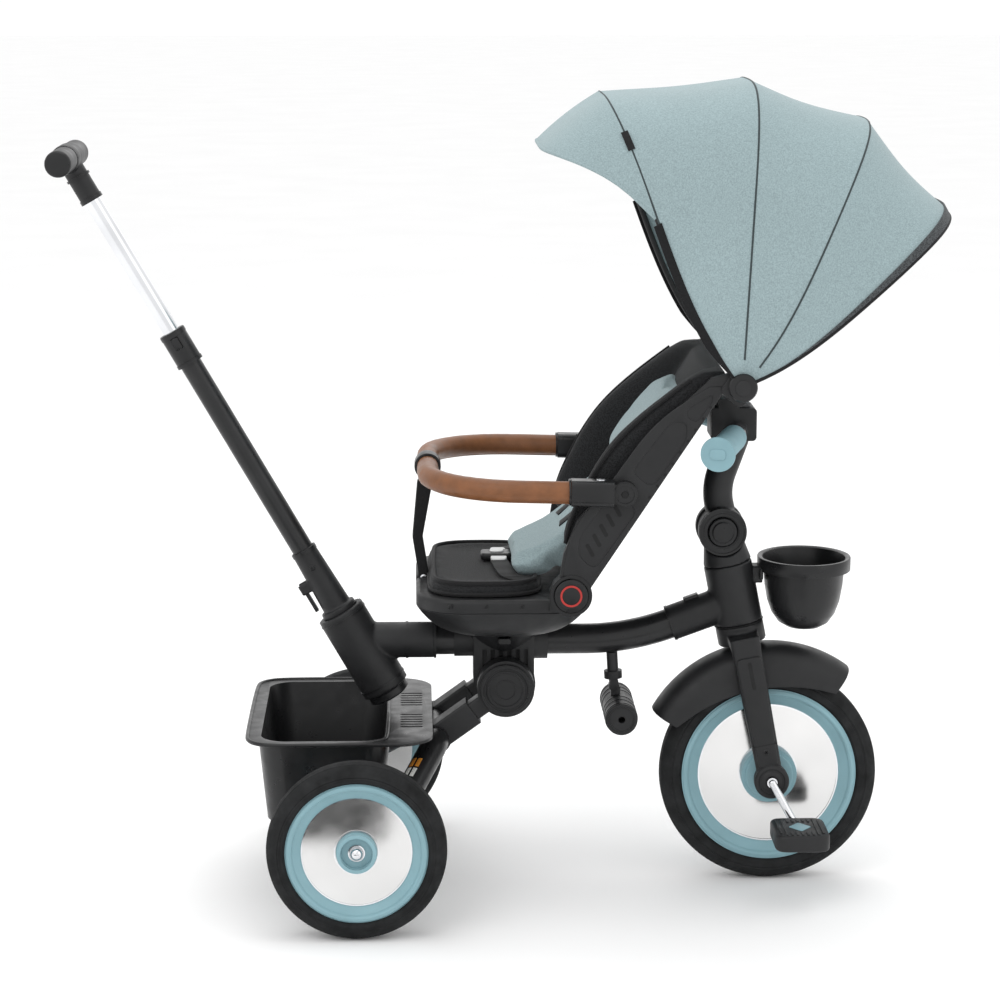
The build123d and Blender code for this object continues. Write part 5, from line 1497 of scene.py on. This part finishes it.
def hood_section(reach, half, shoulder, square, v):
    """(reach, across) at v = -1..1 round the U from one foot over the top to the other."""
    share = 0.56
    side = -1 if v < 0 else 1
    v = abs(v)
    if v <= share:
        theta = v / share * math.pi / 2
        across = half * math.sin(theta) ** (2 / square)
        up = reach - shoulder + shoulder * math.cos(theta) ** (2 / square)
        return up, side * across
    t = (v - share) / (1 - share)
    foot = reach - shoulder
    return foot + (FOOT_REACH - foot) * t, side * half


def hood_angle(angle, up, reach):
    """The bows splay towards their feet, away from the middle one."""
    lean = max(-1.0, min(1.0, (angle - MIDDLE_ANGLE) / SPLAY_SPAN))
    return angle + SPLAY * lean * max(0.0, 1 - up / reach) ** SPLAY_POWER


def hood_grid(number, t, v, sag):
    """A point of gore `number` at part t from its rear bow to its front one."""
    angle = between(BOW_ANGLES, number, t)
    reach = between(BOW_REACH, number, t)
    half = between(BOW_HALF, number, t)
    up, across = hood_section(reach, half, between(SHOULDER, number, t), between(SQUARENESS, number, t), v)
    sink = sag * math.sin(math.pi * t) ** 0.9
    crown = up / reach
    across *= 1 - 0.022 * math.sin(math.pi * t) * crown
    return hood_spot(hood_angle(angle, up, reach), up - sink * crown, across)


def sheet_piece(name, rows, thickness):
    """A cloth of rows of points in metres, given a thickness in mm."""
    columns = len(rows[0])
    faces = [(r * columns + c, r * columns + c + 1, (r + 1) * columns + c + 1, (r + 1) * columns + c)
             for r in range(len(rows) - 1) for c in range(columns - 1)]
    piece = mesh_piece(name, [spot for row in rows for spot in row], (), faces)
    wall = piece.modifiers.new("wall", "SOLIDIFY")
    wall.thickness, wall.offset = thickness * MM, 0
    apply_modifiers(piece)
    tidy_mesh(piece, 0.001)
    smooth(piece, 60)
    return piece


def cloth_area(rows):
    """Area of rows of points in square metres."""
    total = 0.0
    for first, second in zip(rows, rows[1:]):
        for a, b, c, d in zip(first, first[1:], second[1:], second):
            total += 0.5 * ((b - a).cross(c - a).length + (c - a).cross(d - a).length)
    return total


def turn_with(piece, first, second, start_angle, end_angle):
    """Let a gore turn between two bows by the angle of each point about the pivot."""
    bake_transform(piece, first, second, start=tuple(hood_spot(start_angle, 300, 0)),
             end=tuple(hood_spot(end_angle, 300, 0)))
    weights = piece.data.attributes["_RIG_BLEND"]
    for number, vertex in enumerate(piece.data.vertices):
        arm = vertex.co - CANOPY
        angle = math.degrees(math.atan2(arm.z, arm.x))
        up = math.hypot(arm.x, arm.z) / MM
        reach = max(up, 335)
        low = hood_angle(start_angle, up, reach)
        high = hood_angle(end_angle, up, reach)
        weights.data[number].value = max(0.0, min(1.0, (angle - low) / max(1.0, high - low)))


class TRIKE_OT_canopy(bpy.types.Operator):
    """Canopy cloth over three bows, its visor, seams, edge bands and pivots"""

    bl_idname = "trike.canopy"
    bl_label = "Canopy"

    def execute(self, context):
        sag = context.scene.trike_looks.canopy_sag / MM
        parents = ("backrest", "canopy_rear", "canopy_middle", "canopy_front")
        names = ("rear", "middle", "front")
        columns, rows = 96, 18
        across = [-1 + 2 * c / columns for c in range(columns + 1)]
        for number, name in enumerate(names):
            grid = [[hood_grid(number, r / rows, v, sag) for v in across] for r in range(rows + 1)]
            area = cloth_area(grid)
            cloth = sheet_piece(f"canopy_cloth_{name}", grid, 1.4)
            cloth.data.materials.append(finish_of("fabric"))
            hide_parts(f"canopy_{name}")
            turn_with(cloth, parents[number], parents[number + 1], BOW_ANGLES[number], BOW_ANGLES[number + 1])
        for number, name in ((1, "rear"), (2, "middle"), (3, "front")):
            body = f"canopy_{name}"
            line = []
            for v in across[::2]:
                up, side = hood_section(BOW_REACH[number] - 4.6, BOW_HALF[number] - 3.6, SHOULDER[number],
                                        SQUARENESS[number], v)
                line.append(hood_spot(hood_angle(BOW_ANGLES[number], up, BOW_REACH[number]), up, side))
            hoop = tube(f"bow_hoop_{name}", line, 3.4, steps=2, sides=3)
            wear(hoop, body, "frame_plastic", "black", f"canopy_bow_{name}")
            line = []
            for v in across[2:-2:2]:
                up, side = hood_section(BOW_REACH[number] + 0.5, BOW_HALF[number] + 0.5, SHOULDER[number],
                                        SQUARENESS[number], v)
                line.append(hood_spot(hood_angle(BOW_ANGLES[number], up, BOW_REACH[number]), up, side))
            seam = tube(f"bow_seam_{name}", line, 1.15, steps=2, sides=3)
            wear(seam, body, "teal_fabric", "seam")
        up, side = hood_section(BOW_REACH[3] + 1.6, BOW_HALF[3] + 1.6, SHOULDER[3], SQUARENESS[3], -0.37)
        tag = []
        for v in (-0.37, -0.41, -0.45):
            up, side = hood_section(BOW_REACH[3] + 1.8, BOW_HALF[3] + 1.8, SHOULDER[3], SQUARENESS[3], v)
            tag.append(hood_spot(hood_angle(BOW_ANGLES[3], up, BOW_REACH[3]), up, side))
        label = ribbon("canopy_tag", tag, 8, 1.0, Vector((1, 0, 0.2)))
        wear(label, "canopy_front", "mesh_fabric", "tape")
        # visor in front of the front bow
        depth_rows = 8
        grid = []
        for r in range(depth_rows + 1):
            t = r / depth_rows
            row = []
            for v in across[20:-20]:
                up, side = hood_section(BOW_REACH[3], BOW_HALF[3], SHOULDER[3], SQUARENESS[3], v)
                reach_out = max(0.0, min(1.0, (up - 203) / 140)) ** 1.15
                angle = hood_angle(BOW_ANGLES[3], up, BOW_REACH[3]) + (VISOR_ANGLE - BOW_ANGLES[3]) * reach_out * t
                row.append(hood_spot(angle, up - 7.5 * t * reach_out, side * (1 - 0.012 * t)))
            grid.append(row)
        area = cloth_area(grid)
        visor = sheet_piece("canopy_visor_cloth", grid, 2.2)
        wear(visor, "canopy_front", "teal_fabric", "fabric")
        hem = tube("visor_hem", grid[-1][::2], 2.2, steps=2, sides=3)
        wear(hem, "canopy_front", "teal_fabric", "fabric")
        # black bands on the rear edge and down both sides of the front edge
        band = []
        for t in (0.0, 0.5, 1.0):
            row = []
            for v in across:
                up, side = hood_section(BOW_REACH[0] + 0.8, BOW_HALF[0] + 0.8, SHOULDER[0], SQUARENESS[0], v)
                row.append(hood_spot(hood_angle(BOW_ANGLES[0], up, BOW_REACH[0]) + 1.0 - 2.4 * t, up - 2 * t, side))
            band.append(row)
        trim = sheet_piece("rear_edge_mesh", band, 2.2)
        wear(trim, "backrest", "mesh_fabric", "grey_mesh")
        piping = tube("rear_edge_piping", band[-1][::2], 2.0, steps=2, sides=3)
        wear(piping, "backrest", "mesh_fabric", "tape")
        for side_sign, label in ((-1, "right"), (1, "left")):
            band = []
            for t in (0.0, 0.5, 1.0):
                row = []
                for step in range(25):
                    v = 0.6 + 0.4 * step / 24
                    up, side = hood_section(BOW_REACH[3] + 1, BOW_HALF[3] + 1, SHOULDER[3], SQUARENESS[3], v)
                    angle = hood_angle(BOW_ANGLES[3], up, BOW_REACH[3])
                    row.append(hood_spot(angle + (t - 0.3) * 560 / max(60, up), up, side_sign * side))
                band.append(row)
            edge = sheet_piece(f"front_edge_band_{label}", band, 2.4)
            wear(edge, "canopy_front", "mesh_fabric", "lining")
            face = ACROSS * side_sign
            pivot = CANOPY - ACROSS * CANOPY.y
            profile = [(0, 161), (15.5, 161), (16, 162.6), (14.8, 164.6), (9.2, 165), (8.2, 164.2), (6.5, 164.2), (5.6, 165.4),
                       (0, 165.6)]
            cap = turned(f"canopy_pivot_{label}", [(r, side_sign * y) for r, y in profile], pivot, ACROSS, 56, 30)
            wear(cap, "backrest", "frame_plastic", "smooth_black")
        return {"FINISHED"}


# ---------------------------------------------------------------- stage
class TRIKE_OT_stage(bpy.types.Operator):
    """Pale floor, soft studio lights and the camera"""

    bl_idname = "trike.stage"
    bl_label = "Stage"

    def execute(self, context):
        scene = context.scene
        bpy.ops.object.select_all(action="DESELECT")
        bpy.ops.mesh.primitive_plane_add(size=60, location=(0, 0, -0.0006))
        floor = context.active_object
        floor.name = "floor"
        floor.data.materials.append(finish_of("floor"))
        apply_place(floor)
        # dark flags on the floor in front, seen only as reflections in the bright discs
        for number, (x0, x1, y1) in enumerate(((-0.7, -0.135, -0.6), (0.02, 0.285, -0.66))):
            bpy.ops.mesh.primitive_plane_add(size=1, location=((x0 + x1) / 2, (y1 - 1.6) / 2, 0.001))
            flag = context.active_object
            flag.name = f"flag_{number}"
            flag.scale = (x1 - x0, y1 + 1.6, 1)
            apply_place(flag)
            flag.data.materials.append(finish_of("deep_black"))
            flag.visible_camera = flag.visible_diffuse = flag.visible_shadow = False
        world = bpy.data.worlds.new("studio")
        world.use_nodes = True
        world.node_tree.nodes["Background"].inputs["Color"].default_value = (1, 1, 1, 1)
        world.node_tree.nodes["Background"].inputs["Strength"].default_value = 1.03
        scene.world = world
        target = Vector((0, 0, 0.45))
        for name, place, size, power in (("key", (-1.6, -2.4, 2.9), 2.2, 22), ("fill", (2.6, -2.0, 1.7), 2.4, 8),
                                         ("top", (0.2, 0.4, 3.4), 2.6, 26), ("rim", (0.6, 3.0, 2.2), 2.0, 10)):
            bpy.ops.object.light_add(type="AREA", location=place)
            light = context.active_object
            light.name = name
            light.data.size, light.data.energy = size, power
            light.rotation_euler = (target - Vector(place)).to_track_quat("-Z", "Y").to_euler()
        place = Vector((-0.1003, -3.4616, 1.0946))
        aim = Vector((-0.0007, 0, 0.4513))
        bpy.ops.object.camera_add(location=place)
        camera = context.active_object
        camera.rotation_euler = (aim - place).to_track_quat("-Z", "Y").to_euler()
        camera.data.lens, camera.data.sensor_width = 109.97, 36
        scene.camera = camera
        scene.view_settings.view_transform = "Standard"
        return {"FINISHED"}


MAKERS = (TRIKE_OT_stage, TRIKE_OT_wheels, TRIKE_OT_pedals, TRIKE_OT_frame, TRIKE_OT_fork, TRIKE_OT_handlebar,
          TRIKE_OT_push_handle, TRIKE_OT_rear_frame, TRIKE_OT_baskets, TRIKE_OT_footrest, TRIKE_OT_seat,
          TRIKE_OT_backrest, TRIKE_OT_bumper, TRIKE_OT_canopy)


class TRIKE_PT_panel(bpy.types.Panel):
    """Lists the tricycle's makers and sizes"""

    bl_idname = "TRIKE_PT_panel"
    bl_label = "Push tricycle"
    bl_space_type = "VIEW_3D"
    bl_region_type = "UI"
    bl_category = "Tricycle"

    def draw(self, context):
        looks = context.scene.trike_looks
        for name in TrikeLooks.__annotations__:
            self.layout.prop(looks, name)
        for maker in MAKERS:
            self.layout.operator(maker.bl_idname)


CLASSES = (TrikeLooks, *MAKERS, TRIKE_PT_panel)


def register():
    for item in CLASSES:
        bpy.utils.register_class(item)
    bpy.types.Scene.trike_looks = bpy.props.PointerProperty(type=TrikeLooks)


def unregister():
    del bpy.types.Scene.trike_looks
    for item in reversed(CLASSES):
        bpy.utils.unregister_class(item)


def main():
    register()
    for maker in MAKERS:
        group, name = maker.bl_idname.split(".")
        getattr(getattr(bpy.ops, group), name)()
    bpy.ops.object.select_all(action="DESELECT")


if __name__ == "__main__":
    main()
